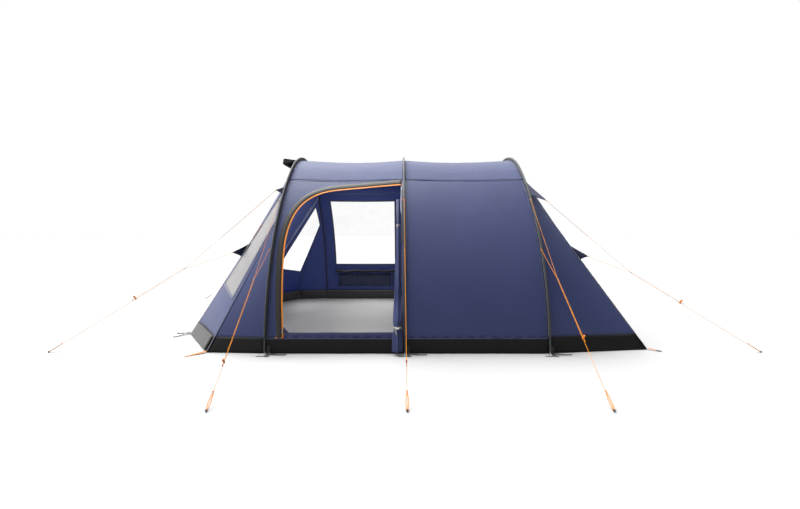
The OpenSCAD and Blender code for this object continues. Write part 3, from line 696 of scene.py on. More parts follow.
def guy_line(n, g, foot, d, up, share):
    """The line: from the peg up through the runner, round the ring and back down to the runner."""
    side = np.cross(d, up)
    tail_end = share + 0.024
    pts = [foot - d * 0.010 - up * 0.004]
    pts += [lerp(foot - d * 0.03, g[2] + d * (share + 0.02), t) - up * PITCH * smooth(t * 4)
            for t in np.linspace(0, 1, 14)]
    pts += [g[2] + d * s - up * PITCH for s in np.linspace(share, 0.02, 8)]
    pts += [g[2] + d * (0.002 - 0.005 * math.sin(a)) - up * 0.005 * math.cos(a)
            for a in np.linspace(0.15, math.pi - 0.15, 9)]
    pts += [g[2] + d * s + up * PITCH for s in np.linspace(0.02, tail_end, 10)]
    line_o = cord_curve(f"guy_{n}_line", pts)
    end_knot = knot(f"guy_{n}_end_knot", g[2] + d * (tail_end + 0.003) + up * PITCH, d, up, 0.0042)
    loop = []
    for a in np.linspace(0, 2 * math.pi, 41):
        wide = 0.008 * math.sin(a)
        loop.append(foot - d * (0.052 + 0.056 * math.cos(a)) + side * wide - up * 0.002)
    end_loop = piece(f"guy_{n}_peg_loop", tube(loop, 0.0024, up, 8), "line", "line")
    long_knot = knot(f"guy_{n}_loop_knot", foot - d * 0.116, d, up, 0.006)
    tuple(pts[0])


def guy_runner(n, at, d, up):
    """A three-hole bar with finger grooves."""
    outline = []
    for q in rounded(0.042, 0.009, 0.0035):
        waist = 1 - 0.16 * math.exp(-((q[0] - 0.007) / 0.006) ** 2)
        outline.append((q[0] + 0.010, q[1] * waist))
    holes = [circle(-0.005, 0, 0.0021), circle(0.005, 0, 0.0021), circle(0.024, 0, 0.0023)]
    place = axes(up, np.cross(d, up), d, at)
    bar = plate(f"runner_{n}_bar", outline, holes, 0.006, 0.0011, place, "runner", "runner", f"runner_{n}")
    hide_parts(f"runner_{n}")


for n, g in enumerate(GUYS, 1):
    foot, d, up, long = guy_axes(g)
    share = g[4] * long
    ring = guy_ring(n, g, d, up)
    guy_legs(n, g, np.cross(d, up))
    guy_line(n, g, foot, d, up, share)
    guy_runner(n, g[2] + d * share, d, up)

# ---- tabs on the tent that the lines are tied to ----


def tab_shape(top, bottom, tip, t=0.0016):
    """A webbing or cloth triangle from its root edge, narrowing to the tip at the line."""
    mid, n = (top + bottom) / 2, unit(np.cross(tip - bottom, top - bottom))
    half = (top - bottom) / 2

    def fn(u, v):
        w = lerp(1.0, 0.10, u ** 0.85)
        p = lerp(mid, tip, u) + half * v * w
        return p + n * (0.0025 * math.sin(5 * u + 2 * v) * (1 - u) + t * 0.5)

    return grid_mesh(lambda v, u: fn(u, v), np.linspace(-1, 1, 7), np.linspace(0, 1, 9))


SLEEVE_R = 0.009


def sleeve_root(point, s):
    """Ends of a side tab's root on the pole sleeve, for the cord that starts at point."""
    a = angle_at(point[2] - 0.008, 0)
    return [at_arch(point[0], a + da, SLEEVE_R + 0.001) * (1, s, 1) for da in (0.28, -0.28)]


def arch_root(front, s):
    """Ends of a corner's upper tab's root, on the end arch."""
    x = FX - 0.003 if front else RX + 0.003
    heights = (1.540, 1.450) if front else (1.607, 1.432)
    return [at_arch(x, angle_at(z, 0), -0.024) * (1, s, 1) for z in heights]


def seam_root(front, s):
    """Ends of a corner's lower tab's root, on the seam from the hem to the arch."""
    hem = np.array([*(HEM_B if front else HEM_C), 0.0]) * (1, s, 1)
    head = at_arch(FX if front else RX, A_CENTRE if front else A_BACK, END_OFF) * (1, s, 1)
    out = unit((-1 if front else 1, s * 0.8, 0.3))
    heights = (0.935, 0.805) if front else (0.925, 0.790)
    return [lerp(hem, head, z / head[2]) + 0.002 * out for z in heights]


tab_parts, corner_parts = [], []
for g in GUYS:
    s, front = math.copysign(1, g[3][1]), g[2][0] < 0
    beside_arch = abs(g[2][0]) < 1.5
    for k in (0, 1):
        tip = g[k] + unit(g[k] - g[2]) * 0.002
        if beside_arch:
            tab_parts.append(tab_shape(*sleeve_root(g[k], s), tip))
        else:
            root = seam_root(front, s) if k else arch_root(front, s)
            corner_parts.append(tab_shape(*root, tip))
piece("guy_tabs_webbing", tab_parts, "webbing_orange", "fly", "guy_tabs", thick=(TAPE, 0))
piece("guy_tabs_cloth", corner_parts, "pocket", "fly", "guy_tabs", thick=(TAPE, 0))

# ---- the fly over the arches ----
A_EAVE, A_SKIRT = angle_at(EAVE_Z), angle_at(SKIRT_H)


def bay(x):
    return (FRONT_X, MIDDLE_X) if x < 0 else (MIDDLE_X, REAR_X)


def fly_pt(x, a, off=FLY_OFF, lift=0.0):
    """Point on the stretched fly: it pulls in between the arches, and puckers a little beside them."""
    x0, x1 = bay(x)
    t = (x - x0) / (x1 - x0)
    up = math.sin(math.radians(a))
    span = bulge(t)
    depth = (0.004 + 0.024 * up ** 2) * span
    p = at_arch(x, a, off)
    edge = min(x - x0, x1 - x)
    near_arch = math.exp(-max(edge, 0) / 0.05) * (1 - math.exp(-max(edge, 0) / 0.008))
    s = math.radians(a) * SIDE_R
    pucker = 0.0016 * near_arch * wob((x * 2, s * 11, 0.3), 1.6, 3)
    drift = span * (0.0035 * wob((x, s, 0), 1.5, 9) + 0.0012 * wob((x, s, 0), 6.0, 4))
    return p + arch_out(a) * (lift - depth + pucker + drift)


def fly_grid(x0, x1, a0, a1, step=0.022, **kw):
    nx = max(3, round((x1 - x0) / step) + 1)
    na = max(3, round(math.radians(abs(a1 - a0)) * 1.6 / step) + 1)
    return grid_mesh(lambda x, a: fly_pt(x, a, **kw), np.linspace(x0, x1, nx), np.linspace(a0, a1, na))


def arc_len(a0, a1, off=FLY_OFF):
    pts = [at_arch(0, a, off) for a in np.linspace(a0, a1, 60)]
    return length_of(pts)


GAP = 0.0015
for name, x0, x1 in (("living_roof", FRONT_X, -GAP), ("bedroom_roof", GAP, REAR_X)):
    cloth(f"{name}_cloth", fly_grid(x0, x1, A_EAVE, 180 - A_EAVE), name, "roof", "roof",
          (x1 - x0, arc_len(A_EAVE, 180 - A_EAVE)), cut=False)


def inside(poly, pts):
    """Which of pts lie in the polygon."""
    poly, pts = np.asarray(poly, float), np.asarray(pts, float)
    r = np.zeros(len(pts), bool)
    j = len(poly) - 1
    for i in range(len(poly)):
        (xi, yi), (xj, yj) = poly[i], poly[j]
        if yi != yj:
            c = (yi > pts[:, 1]) != (yj > pts[:, 1])
            r ^= c & (pts[:, 0] < (xj - xi) * (pts[:, 1] - yi) / (yj - yi) + xi)
        j = i
    return r


def resample(loop, step):
    out = []
    for i in range(len(loop)):
        a, b = np.array(loop[i], float), np.array(loop[(i + 1) % len(loop)], float)
        n = max(1, round(np.linalg.norm(b - a) / step))
        out += [lerp(a, b, k / n) for k in range(n)]
    return out


def patch(outer, holes, step):
    """Triangles over a flat outline with holes: 2D points and faces."""
    loops = [resample(q, step * 0.8) for q in [outer, *holes]]
    pts, edges = [], []
    for q in loops:
        n0 = len(pts)
        pts += q
        edges += [(n0 + i, n0 + (i + 1) % len(q)) for i in range(len(q))]
    rim = np.array(pts)
    lo, hi = rim.min(0), rim.max(0)
    xs = np.arange(lo[0] + step / 2, hi[0], step)
    ys = np.arange(lo[1] + step / 2, hi[1], step * 0.87)
    g = np.array([(x + (step / 2 if j % 2 else 0), y) for j, y in enumerate(ys) for x in xs])
    ok = inside(loops[0], g)
    for q in loops[1:]:
        ok &= ~inside(q, g)
    g = g[ok]
    far = np.array([np.min(np.sum((rim - p) ** 2, axis=1)) > (0.55 * step) ** 2 for p in g])
    pts += list(g[far])
    out = geometry.delaunay_2d_cdt([Vector(p) for p in pts], edges, [], 0, 1e-7)
    co, tri = np.array([tuple(p) for p in out[0]]), [tuple(t) for t in out[2]]
    mid = np.array([co[list(t)].mean(0) for t in tri])
    ok = inside(loops[0], mid)
    for q in loops[1:]:
        ok &= ~inside(q, mid)
    return co, [t for t, k in zip(tri, ok) if k]


# doorway outline as (x, z), grown outwards by grow
DOOR_X, DOOR_Z, DOOR_END, DOOR_HEAD = -1.060, 0.180, -0.025, 1.545
DOOR_LINE = (((DOOR_X, DOOR_Z), (DOOR_X - 0.016, 0.430), (DOOR_X - 0.038, 0.690), (DOOR_X - 0.047, 0.930)),
             ((DOOR_X - 0.047, 0.930), (DOOR_X - 0.047, 1.260), (-0.998, 1.446), (-0.700, 1.487)),
             ((-0.700, 1.487), (-0.550, 1.508), (-0.250, 1.534), (DOOR_END, DOOR_HEAD)))


def bezier(p, t):
    weights = (1 - t) ** 3, 3 * t * (1 - t) ** 2, 3 * t * t * (1 - t), t ** 3
    return sum(np.array(q) * c for q, c in zip(p, weights))


def door_edge(grow=0.0, foot=DOOR_Z):
    """Points (x, z) of the doorway's edge, grown outwards, from its foot on the left to the middle arch."""
    line = [np.array([DOOR_X, z]) for z in np.arange(foot, DOOR_Z - 0.004, 0.01)]
    for part in DOOR_LINE:
        line += [bezier(part, t) for t in np.linspace(0, 1, 34)[:-1]]
    line = np.array(line + [np.array([DOOR_END, DOOR_HEAD])])
    t = np.gradient(line, axis=0)
    t /= np.linalg.norm(t, axis=1)[:, None]
    return line + grow * np.stack([-t[:, 1], t[:, 0]], 1)


def wall_cloth(name, near, x0, x1, hole=None):
    """A side wall between the skirt and the eave, with an opening given as (x, z)."""
    arc = math.radians(1) * (SIDE_R + FLY_OFF)
    flat = [(x0, A_SKIRT * arc), (x1, A_SKIRT * arc), (x1, A_EAVE * arc), (x0, A_EAVE * arc)]
    holes = [[(q[0], angle_at(q[1]) * arc) for q in hole]] if hole else []
    co, tri = patch(flat, holes, 0.026)
    verts = [fly_pt(x, 180 - s / arc if near else s / arc) for x, s in co]
    n = np.cross(verts[tri[0][1]] - verts[tri[0][0]], verts[tri[0][2]] - verts[tri[0][0]])
    if (n[1] > 0) == near:
        tri = flip(tri)
    flat = x1 - x0, (A_EAVE - A_SKIRT) * arc
    cloth(f"{name}_cloth", (verts, tri, co), name, "fly", "fly", flat)


door_hole = [(DOOR_END, DOOR_Z)] + [tuple(p) for p in door_edge()]
WIN = (-1.040, -0.125, 0.560, 1.500)
win_hole = rect(WIN[:2], WIN[2:])
wall_cloth("door_wall", True, FRONT_X, -GAP, door_hole)
wall_cloth("window_wall", False, FRONT_X, -GAP, win_hole)
wall_cloth("bedroom_near_wall", True, GAP, REAR_X)
wall_cloth("bedroom_far_wall", False, GAP, REAR_X)

# far window pane and its hemmed surround
pane = fly_grid(WIN[0] - 0.012, WIN[1] + 0.012, angle_at(WIN[2] - 0.012), angle_at(WIN[3] + 0.012), 0.03,
                off=FLY_OFF - 0.0022)
cloth("far_window_film", pane, "far_window", "window", "window", (0.94, 1.06), cut=False, thick=FILM)


def on_wall(x, z, near, lift=0.0):
    a = angle_at(z)
    return fly_pt(x, 180 - a if near else a, lift=lift)


def wall_ribbon(line, near, w, t=0.0012, lift=0.0004, inner=False):
    """A flat tape on the wall's outer or inner face along (x, z) points."""
    out = []
    for x, z in line:
        a = angle_at(z)
        out.append(arch_out(180 - a if near else a) * (-1 if inner else 1))
    pts = [on_wall(x, z, near, (-CLOTH - lift) if inner else lift) for x, z in line]
    return ribbon(pts, out, w, t)


hems = []
for inner in (False, True):
    loop = resample(rect(WIN[:2], WIN[2:], 0.014, 0.014), 0.03)
    loop.append(loop[0])
    hems.append(wall_ribbon(loop, False, 0.024, inner=inner))
piece("far_window_hem", hems, "seam", "fly")

# ---- sloping ends ----


def hem_pt(p, s):
    return np.array([p[0], s * p[1], 0.0])


def sloped(b0, b1, x, a0, a1, belly, seed):
    """Gives the panel between hem points b0 and b1 and the arch from a0 to a1, above the skirt."""

    def fn(u, w, lift=0.0):
        b, t = lerp(b0, b1, u), at_arch(x, lerp(a0, a1, u), END_OFF)
        p = lerp(lerp(b, t, SKIRT_H / t[2]), t, w)
        across = (b1 - b0) + (at_arch(x, a1, END_OFF) - at_arch(x, a0, END_OFF)) * w
        n = unit(np.cross(across, t - b))
        rim = bulge(u, 0.7) * bulge(w, 0.6)
        slack = 0.0035 * wob(p, 2.0, seed) + 0.0012 * wob(p, 7.0, seed + 3)
        return p + n * (lift + rim * (slack - belly))

    return fn


def leg_line(x, a0, a1):
    return lambda w: at_arch(x, lerp(a0, a1, w), END_OFF)


def seam_line(b, t):
    return lambda w: lerp(b, t, w)


def outward(mesh, centre=(0.0, 0.0, 0.8)):
    """The mesh with its faces turned so that they look away from the tent's middle."""
    verts, faces, uvs = mesh
    f = faces[len(faces) // 2]
    p = [np.asarray(verts[k]) for k in f[:3]]
    if np.dot(np.cross(p[1] - p[0], p[2] - p[0]), p[0] - np.array(centre)) < 0:
        faces = flip(faces)
    return verts, [tuple(q) for q in faces], uvs


PANELS = {}
for s, side_name in ((-1, "near"), (1, "far")):
    A, B, C = hem_pt(HEM_A, s), hem_pt(HEM_B, s), hem_pt(HEM_C, s)
    arch = (lambda a, s=s: a if s > 0 else 180 - a)
    PANELS[f"front_{side_name}_panel"] = sloped(A, B, FX, arch(A_GUSSET), arch(A_CENTRE), 0.012, 2 + s)
    for end, x, corner, a1 in (("front", FX, A, A_GUSSET), ("back", RX, C, A_BACK)):
        leg = leg_line(x, 0 if s > 0 else 180, arch(a1))
        seam = seam_line(corner, leg(1))

        def gusset(u, w, leg=leg, seam=seam, belly=(0.010 if end == "back" else 0.004), seed=3 * s):
            a, b = leg(w), seam(w)
            p = lerp(a, b, u)
            n = unit(np.cross(b - a, leg(1) - p))
            n = n * math.copysign(1, n[1] * s)
            rim = bulge(u, 0.7) * bulge(w, 0.5)
            return p + n * rim * (0.003 * wob(p, 2.4, seed) + 0.001 * wob(p, 9, seed) - belly)

        PANELS[f"{end}_{side_name}_gusset"] = gusset
BN, BF = hem_pt(HEM_B, -1), hem_pt(HEM_B, 1)
PANELS["front_centre_panel"] = sloped(BF, BN, FX, A_CENTRE, 180 - A_CENTRE, 0.018, 7)
CN, CF = hem_pt(HEM_C, -1), hem_pt(HEM_C, 1)
PANELS["back_panel"] = sloped(CN, CF, RX, 180 - A_BACK, A_BACK, 0.018, 11)


def skirt_share(a1):
    return SKIRT_H / ((SIDE_R + END_OFF) * math.sin(math.radians(a1)))


def extent(fn, w0=0.0):
    """Width and length of a panel, along its own curves."""
    ends = (0.0, 0.5, 1.0)
    wide = max(length_of([fn(u, max(w, w0)) for u in np.linspace(0, 1, 20)]) for w in ends)
    return wide, max(length_of([fn(u, w) for w in np.linspace(w0, 0.999, 20)]) for u in ends)


def uw_patch(name, holes, step_u, mat):
    """A panel's cloth, with holes given as (u, w), whose cells are step_u wide."""
    fn, step_w = PANELS[name], 0.018
    k = step_w / step_u
    flat = extent(fn)
    loops = [[(q[0] * k, q[1]) for q in loop] for loop in (SQUARE, *holes)]
    co, tri = patch(loops[0], loops[1:], step_w)
    verts = [fn(c[0] / k, c[1]) for c in co]
    uvs = np.array([(c[0] / k * flat[0], c[1] * flat[1]) for c in co])
    cloth(f"{name}_cloth", outward((verts, tri, uvs)), name, mat, mat, flat)


WU, WW = (0.129, 0.871), (0.302, 0.946)
VU, VW = (0.352, 0.648), (0.834, 0.943)
SQUARE = rect((0, 1), (0, 1))
hem_parts = []


def uw_ribbon(fn, uw, w, lift=0.0006, t=0.001):
    """A tape on a panel's outer face along (u, w) points."""
    pts = np.array([fn(q[0], q[1]) for q in uw])
    e = 0.01
    hints = []
    for q in uw:
        du = fn(min(q[0] + e, 1), q[1]) - fn(max(q[0] - e, 0), q[1])
        dw = fn(q[0], min(q[1] + e, 1)) - fn(q[0], max(q[1] - e, 0))
        n = unit(np.cross(du, dw))
        if n @ (fn(q[0], q[1]) - np.array([0, 0, 0.8])) < 0:
            n = -n
        hints.append(n)
    hints = np.array(hints)
    return ribbon(pts + hints * lift, hints, w, t)


for name in ("front_near_panel", "front_far_panel"):
    fn = PANELS[name]
    uw_patch(name, [rect(WU, WW)], 0.04, "fly")
    node = name.replace("panel", "window")
    g = 0.02
    us, ws = np.linspace(WU[0] - g, WU[1] + g, 14), np.linspace(WW[0] - g / 2, WW[1] + g / 2, 40)
    # The near window takes the film painted grey for its reflection; its twin on the far side is clear.
    look = "front_window" if "near" in name else "window"
    cloth(f"{node}_film", outward(grid_mesh(fn, us, ws)), node, look, "window", (0.65, 1.30),
          thick=FILM)
    rim = resample(rect(WU, WW, g, g / 2), 0.03)
    hem_parts.append(uw_ribbon(fn, rim + [rim[0]], 0.022))
fn = PANELS["front_centre_panel"]
uw_patch("front_centre_panel", [rect(VU, VW)], 0.022, "roof")
us, ws = np.linspace(VU[0] - 0.01, VU[1] + 0.01, 18), np.linspace(VW[0] - 0.006, VW[1] + 0.006, 12)
cloth("vent_mesh_net", outward(grid_mesh(fn, us, ws)), "vent_mesh", "mesh", "mesh", (0.36, 0.24),
      thick=FILM)
rim = resample(rect(VU, VW, 0.01, 0.006), 0.02)
hem_parts.append(uw_ribbon(fn, rim + [rim[0]], 0.016))
uw_patch("back_panel", [], 0.022, "fly")
for end, pole, a1 in (("front", "front_pole", A_GUSSET), ("back", "rear_pole", A_BACK)):
    for side_name in ("near", "far"):
        key = f"{end}_{side_name}_gusset"
        w0 = skirt_share(a1)
        mesh = outward(grid_mesh(PANELS[key], np.linspace(0, 1, 22), np.linspace(w0, 0.998, 60)))
        cloth(f"{key}_cloth", mesh, key, "fly", "fly", extent(PANELS[key], w0))

# ---- skirts: a black band along the ground ----
skirt_parts = []
LOW_MIDDLE = (0, 0, 0.05)


def skirt_wave(p, h):
    """The loose foot of a skirt waves a little."""
    k = (1 - h) ** 1.5
    return k * (0.004 * wob(p, 4.5, 21) + 0.0015 * wob(p, 15, 5))


for s in (-1, 1):
    for x0, x1 in ((FRONT_X, -GAP), (GAP, REAR_X)):
        def fn(x, h, s=s):
            a = angle_at(max(h, 0.0) * SKIRT_H)
            p = at_arch(x, a, FLY_OFF)
            top = fly_pt(x, A_SKIRT) - at_arch(x, A_SKIRT, FLY_OFF)
            return (p + top * h + arch_out(a) * skirt_wave(p, h) + UP * 0.0012 * (1 - h)) * (1, s, 1)

        strip = grid_mesh(fn, np.linspace(x0, x1, 56), np.linspace(0, 1, 8))
        skirt_parts.append(outward(strip, LOW_MIDDLE))
cloth("side_skirts_cloth", skirt_parts, "side_skirts", "skirt", "skirt", (0.52, 1.23))
skirt_parts = []
for name, fn in PANELS.items():
    if "gusset" in name:
        w0 = skirt_share(A_GUSSET if "front" in name else A_BACK)
        strip = grid_mesh(fn, np.linspace(0, 1, 14), np.linspace(0.0015, w0, 7))
    else:
        b0, b1 = {"front_near_panel": (hem_pt(HEM_A, -1), hem_pt(HEM_B, -1)),
                  "front_far_panel": (hem_pt(HEM_A, 1), hem_pt(HEM_B, 1)),
                  "front_centre_panel": (BF, BN), "back_panel": (CN, CF)}[name]
        x = FX if "front" in name else RX

        def low(u, h, fn=fn, b0=b0, b1=b1):
            p = lerp(lerp(b0, b1, u), fn(u, 0), h)
            n = unit(np.array([p[0], p[1] * 0.6, 0.0]))
            rim = bulge(u, 0.5)
            return p + n * rim * skirt_wave(p, h) + UP * 0.0015 * (1 - h)

        strip = grid_mesh(low, np.linspace(0, 1, 50), np.linspace(0, 1, 8))
    skirt_parts.append(outward(strip, LOW_MIDDLE))
cloth("end_skirts_cloth", skirt_parts, "end_skirts", "skirt", "skirt", (0.75, 1.72))

near_front = PANELS["front_near_panel"]


def foot_patch(u, h):
    """Point of the blank patch on the near front panel's skirt."""
    p = lerp(lerp(hem_pt(HEM_A, -1), hem_pt(HEM_B, -1), u), near_front(u, 0), h)
    return p + unit((p[0], p[1] * 0.6, 0.6)) * 0.009


mesh = outward(grid_mesh(foot_patch, np.linspace(0.06, 0.97, 14), np.linspace(0.06, 0.97, 6)))
piece("front_foot_patch", mesh, "patch", "skirt", thick=(0.0014, 1))
for name, at, low, high, wide, thick, mat in (("front_window_tie", 0.90, 0.63, 0.74, 0.030, 0.003, "rust"),
                                              ("front_window_tab", 0.88, 0.53, 0.60, 0.044, 0.004, "edge")):
    line = [(at, w) for w in np.linspace(low, high, 6)]
    piece(name, uw_ribbon(near_front, line, wide, thick, thick), mat, "fly")

# ---- sleeves, seams and bindings ----


def sleeve_mesh(x):
    """A cloth sleeve round the pole with its sewn stem, gathered a little along its length."""
    foot = angle_at(WALL_TOP, 0)
    turns = np.linspace(foot, 180 - foot, 300)
    path, up = [at_arch(x, a, 0.0) for a in turns], [arch_out(a) for a in turns]

    def profile(i):
        s = i * 0.0128
        gather = 0.0003 * math.sin(s * 170 + 2 * wob((s, x, 1), 3, 1))
        r = SLEEVE_R + 0.0004 * wob((s * 30, x, 0), 1.0, 3) + gather
        turn = [math.radians(-74 + 328 * k / 16) for k in range(17)]
        stem = [(0.0013, z) for z in np.linspace(FLY_OFF + 0.001, -SLEEVE_R - 0.001, 4)]
        pipe = [(r * math.cos(t), r * math.sin(t)) for t in turn]
        return stem + pipe + [(-a, b) for a, b in reversed(stem)]

    return sweep(path, [(1.0, 0, 0)] * 300, up, profile, closed=False)


for name, x in (("front", FRONT_X), ("middle", MIDDLE_X), ("rear", REAR_X)):
    cloth(f"{name}_sleeve_cloth", sleeve_mesh(x), f"{name}_sleeve", "sleeve", "sleeve", (0.09, 4.5),
          cut=False, thick=0.0009, offset=0)

seam_parts = []


def roof_ribbon(x, w, lift, t, a0=None, a1=None):
    """A tape along the arch beside the sleeve's stem."""
    a0, a1 = a0 or A_SKIRT, a1 or 180 - A_SKIRT
    angles = np.linspace(a0, a1, 160)
    pts = [fly_pt(x, a, lift=lift) for a in angles]
    return ribbon(pts, [arch_out(a) for a in angles], w, t)


for x in (FRONT_X + 0.012, -0.012, 0.012, REAR_X - 0.012):
    seam_parts.append(roof_ribbon(x, 0.018, 0.0003, 0.0009))
for s in (1, -1):
    for x0, x1 in ((FRONT_X + 0.004, -0.003), (0.003, REAR_X - 0.004)):
        xs = np.linspace(x0, x1, 70)
        for a, w in ((A_EAVE, 0.009), (A_SKIRT, 0.010)):
            pts = [fly_pt(x, a, lift=0.0012) * (1, s, 1) for x in xs]
            seam_parts.append(ribbon(pts, arch_out(a) * (1, s, 1), w, 0.001))
piece("fly_seam_tapes", seam_parts, "seam", "fly")

edge_parts = []
for x in (FRONT_X - 0.0045, REAR_X + 0.0045):
    angles = np.linspace(0.4, 179.6, 200)
    pts = [at_arch(x, a, -0.030) for a in angles]
    side = [(1.0, 0, 0)] * len(pts)
    up = [arch_out(a) for a in angles]
    edge_parts.append(sweep(pts, side, up, lambda i: ellipse(0.0052, 0.0045, 8)))
piece("arch_edge_binding", edge_parts, "edge", "sleeve")

for s in (1, -1):
    arch = (lambda a, s=s: a if s > 0 else 180 - a)
    for b, x, a1 in ((HEM_A, FX, A_GUSSET), (HEM_B, FX, A_CENTRE), (HEM_C, RX, A_BACK)):
        b3, t3 = hem_pt(b, s), at_arch(x, arch(a1), END_OFF)
        pts = [lerp(b3, t3, w) for w in np.linspace(0.012, 0.995, 60)]
        out = unit(np.array([b[0], s * b[1], 0.7]))
        hem_parts.append(ribbon([p + out * 0.001 for p in pts], out, 0.014, 0.0014))
piece("end_seam_tapes", hem_parts, "seam", "fly")

# ---- doorway: zip, teeth, rain strip, corner patch, slider ----


def walk(points, step):
    """Points along an open line, step apart."""
    p = np.asarray(points, float)
    d = np.concatenate([[0], np.cumsum(np.linalg.norm(np.diff(p, axis=0), axis=1))])
    s = np.arange(0, d[-1], step)
    return np.stack([np.interp(s, d, p[:, k]) for k in range(p.shape[1])], 1)


def offset_ribbon(grow0, grow1, lift, foot, fold=0.0):
    """A band between two growths of the doorway's edge; fold raises its middle."""
    a, b = door_edge(grow0, foot), door_edge(grow1, foot)
    n = len(a)

    def fn(k, w):
        i = min(n - 1, int(round(k)))
        q = lerp(a[i], b[i], w)
        rise = lift + fold * math.sin(math.pi * w) * (1 + 0.25 * wob((i * 0.11, 0, 0), 1.0, 5))
        return on_wall(q[0], q[1], True, rise)

    return grid_mesh(fn, np.arange(n), np.linspace(0, 1, 7))


ZIP_W, STRIP_W = 0.008, 0.050
mesh = outward(offset_ribbon(0.0005, 0.002 + ZIP_W, 0.0006, 0.140))
piece("door_zip_tape", mesh, "zip", "zip", "door_zip", thick=(0.0012, 1))
mesh = outward(offset_ribbon(0.003 + ZIP_W, 0.003 + ZIP_W + STRIP_W, 0.0010, 0.137, 0.0045))
o = piece("door_rain_flap", mesh, "strip", "sleeve", "door_rain_strip", thick=(0.0016, 1))
declare((0.05, 2.7))

line = walk(door_edge(-0.0012, 0.140), 0.0045)
TOOTH_FACES = [(0, 3, 2, 1), (4, 5, 6, 7), *((k, (k + 1) % 4, (k + 1) % 4 + 4, k + 4) for k in range(4))]
teeth = []
for p, q in zip(line[:-1], line[1:]):
    c = on_wall(p[0], p[1], True, 0.0008)
    d = unit(on_wall(q[0], q[1], True, 0.0008) - c)
    n = arch_out(180 - angle_at(p[1]))
    s = unit(np.cross(d, n))
    box = []
    for e in (-1, 1):
        for a, b in ((-1, -1), (1, -1), (1, 1), (-1, 1)):
            high = 0.0016 * e * (1 - 0.3 * (a > 0))
            box.append(c + s * a * 0.0032 + d * b * (0.0014 - 0.0004 * a) + n * high)
    teeth.append((np.array(box), TOOTH_FACES, np.zeros((8, 2))))
piece("door_zip_teeth", teeth, "coil", "zip", "door_zip", flat=True)

# the sill and the jamb's edge are bound, with a patch in the lower left corner
sill = [(x, DOOR_Z - 0.006 + 0.004 * wob((x, 0, 0), 3, 8)) for x in np.linspace(DOOR_X, DOOR_END, 60)]
parts = [wall_ribbon(sill, True, 0.020, TAPE)]
jamb = [(DOOR_END + 0.004, z) for z in np.linspace(DOOR_Z, DOOR_HEAD, 60)]
parts.append(wall_ribbon(jamb, True, 0.012, TAPE))
piece("doorway_binding", parts, "seam", "fly")


def corner_patch(a, b):
    """Point of a triangle in the doorway's lower left corner."""
    z = DOOR_Z - 0.004 + 0.054 * b * (1 - a)
    return on_wall(DOOR_X + 0.001 + 0.057 * a, z, True, 0.0025)


mesh = outward(grid_mesh(corner_patch, np.linspace(0, 1, 8), np.linspace(0, 1, 8)))
piece("doorway_corner_patch", mesh, "pocket", "fly", thick=(0.0014, 1))
ret = [(DOOR_X - 0.070 + t * 0.075, 0.139) for t in np.linspace(0, 1, 20)]
piece("door_zip_return", wall_ribbon(ret, True, 0.009, TAPE, 0.0032), "zip", "zip")


def slider_piece(name, at, up, out, node, k=1.0):
    """A zip slider: a bridged body, its pull tab and a cord loop with a tip."""
    x = np.cross(up, out)
    place = axes(x, up, out, at)
    outline = rounded(0.010 * k, 0.016 * k, 0.003 * k)
    shell = plate(f"{name}_body", outline, [], 0.0022, 0.0008, place, "slider", "steel", node)
    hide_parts(node)
    arm = [at + out * h + up * s for h, s in ((0.002, 0.005), (0.0042, 0.0045), (0.0048, 0.0),
                                              (0.0042, -0.0045), (0.002, -0.005))]
    piece(f"{name}_bridge", tube(spline(arm, 14), 0.0008, x, 6), "slider", "steel", body=node)
    place = axes(x, up, out, at + out * 0.0052 - up * 0.017 * k)
    holes = [circle(0, 0.009 * k, 0.0014), circle(0, -0.009 * k, 0.0014)]
    outline = rounded(0.0065, 0.026 * k, 0.0028)
    plate(f"{name}_tab", outline, holes, 0.0008, 0.0003, place, "slider", "steel", node)
    top = at + out * 0.0052 - up * 0.026 * k
    pts = [top, top - up * 0.008 + x * 0.002, top - up * 0.022 + x * 0.0016, top - up * 0.034]
    piece(f"{name}_pull_cord", tube(spline(pts, 16), 0.0009, out, 6), "elastic", "elastic", body=node)
    plate(f"{name}_pull_tip", rounded(0.005, 0.013, 0.002), [], 0.0018, 0.0007,
          axes(x, up, out, top - up * 0.039), "dark_toggle", "buckle", node)


a_s = 180 - angle_at(DOOR_Z + 0.025)
p = at_arch(DOOR_X - 0.006, a_s, FLY_OFF)
out = arch_out(a_s)
up = np.array([0, -out[2], out[1]])
up = up if up[2] > 0 else -up
slider_piece("door_slider", p + out * 0.0036, up, out, "door_zip_slider")

# ---- the side door, gathered along the middle arch and tied ----
BUNDLE_X, BUNDLE_LOW, BUNDLE_TOP = -0.062, 0.032, 1.385


def bundle_at(z):
    """Centre, half width and half depth of the gathered door at height z; its foot hangs outside."""
    low = smooth((1.10 - z) / 0.95)
    off = lerp(0.010, -0.071, smooth((z - 0.215) / 0.270))
    y, _ = arc_pt(angle_at(z, off), off)
    half = lerp(0.016, 0.037, low) + 0.004 * smooth((0.20 - z) / 0.12)
    tie = math.exp(-((z - 0.235) / 0.035) ** 2) * 0.009 + math.exp(-((z - 1.12) / 0.035) ** 2) * 0.004
    return np.array([BUNDLE_X - 0.004 * low, -y, z]), half - tie, min(0.034, half) - tie * 0.8


def door_width(z):
    """How much door there is at height z."""
    return lerp(0.16, 1.035, smooth((1.56 - z) / 0.55))


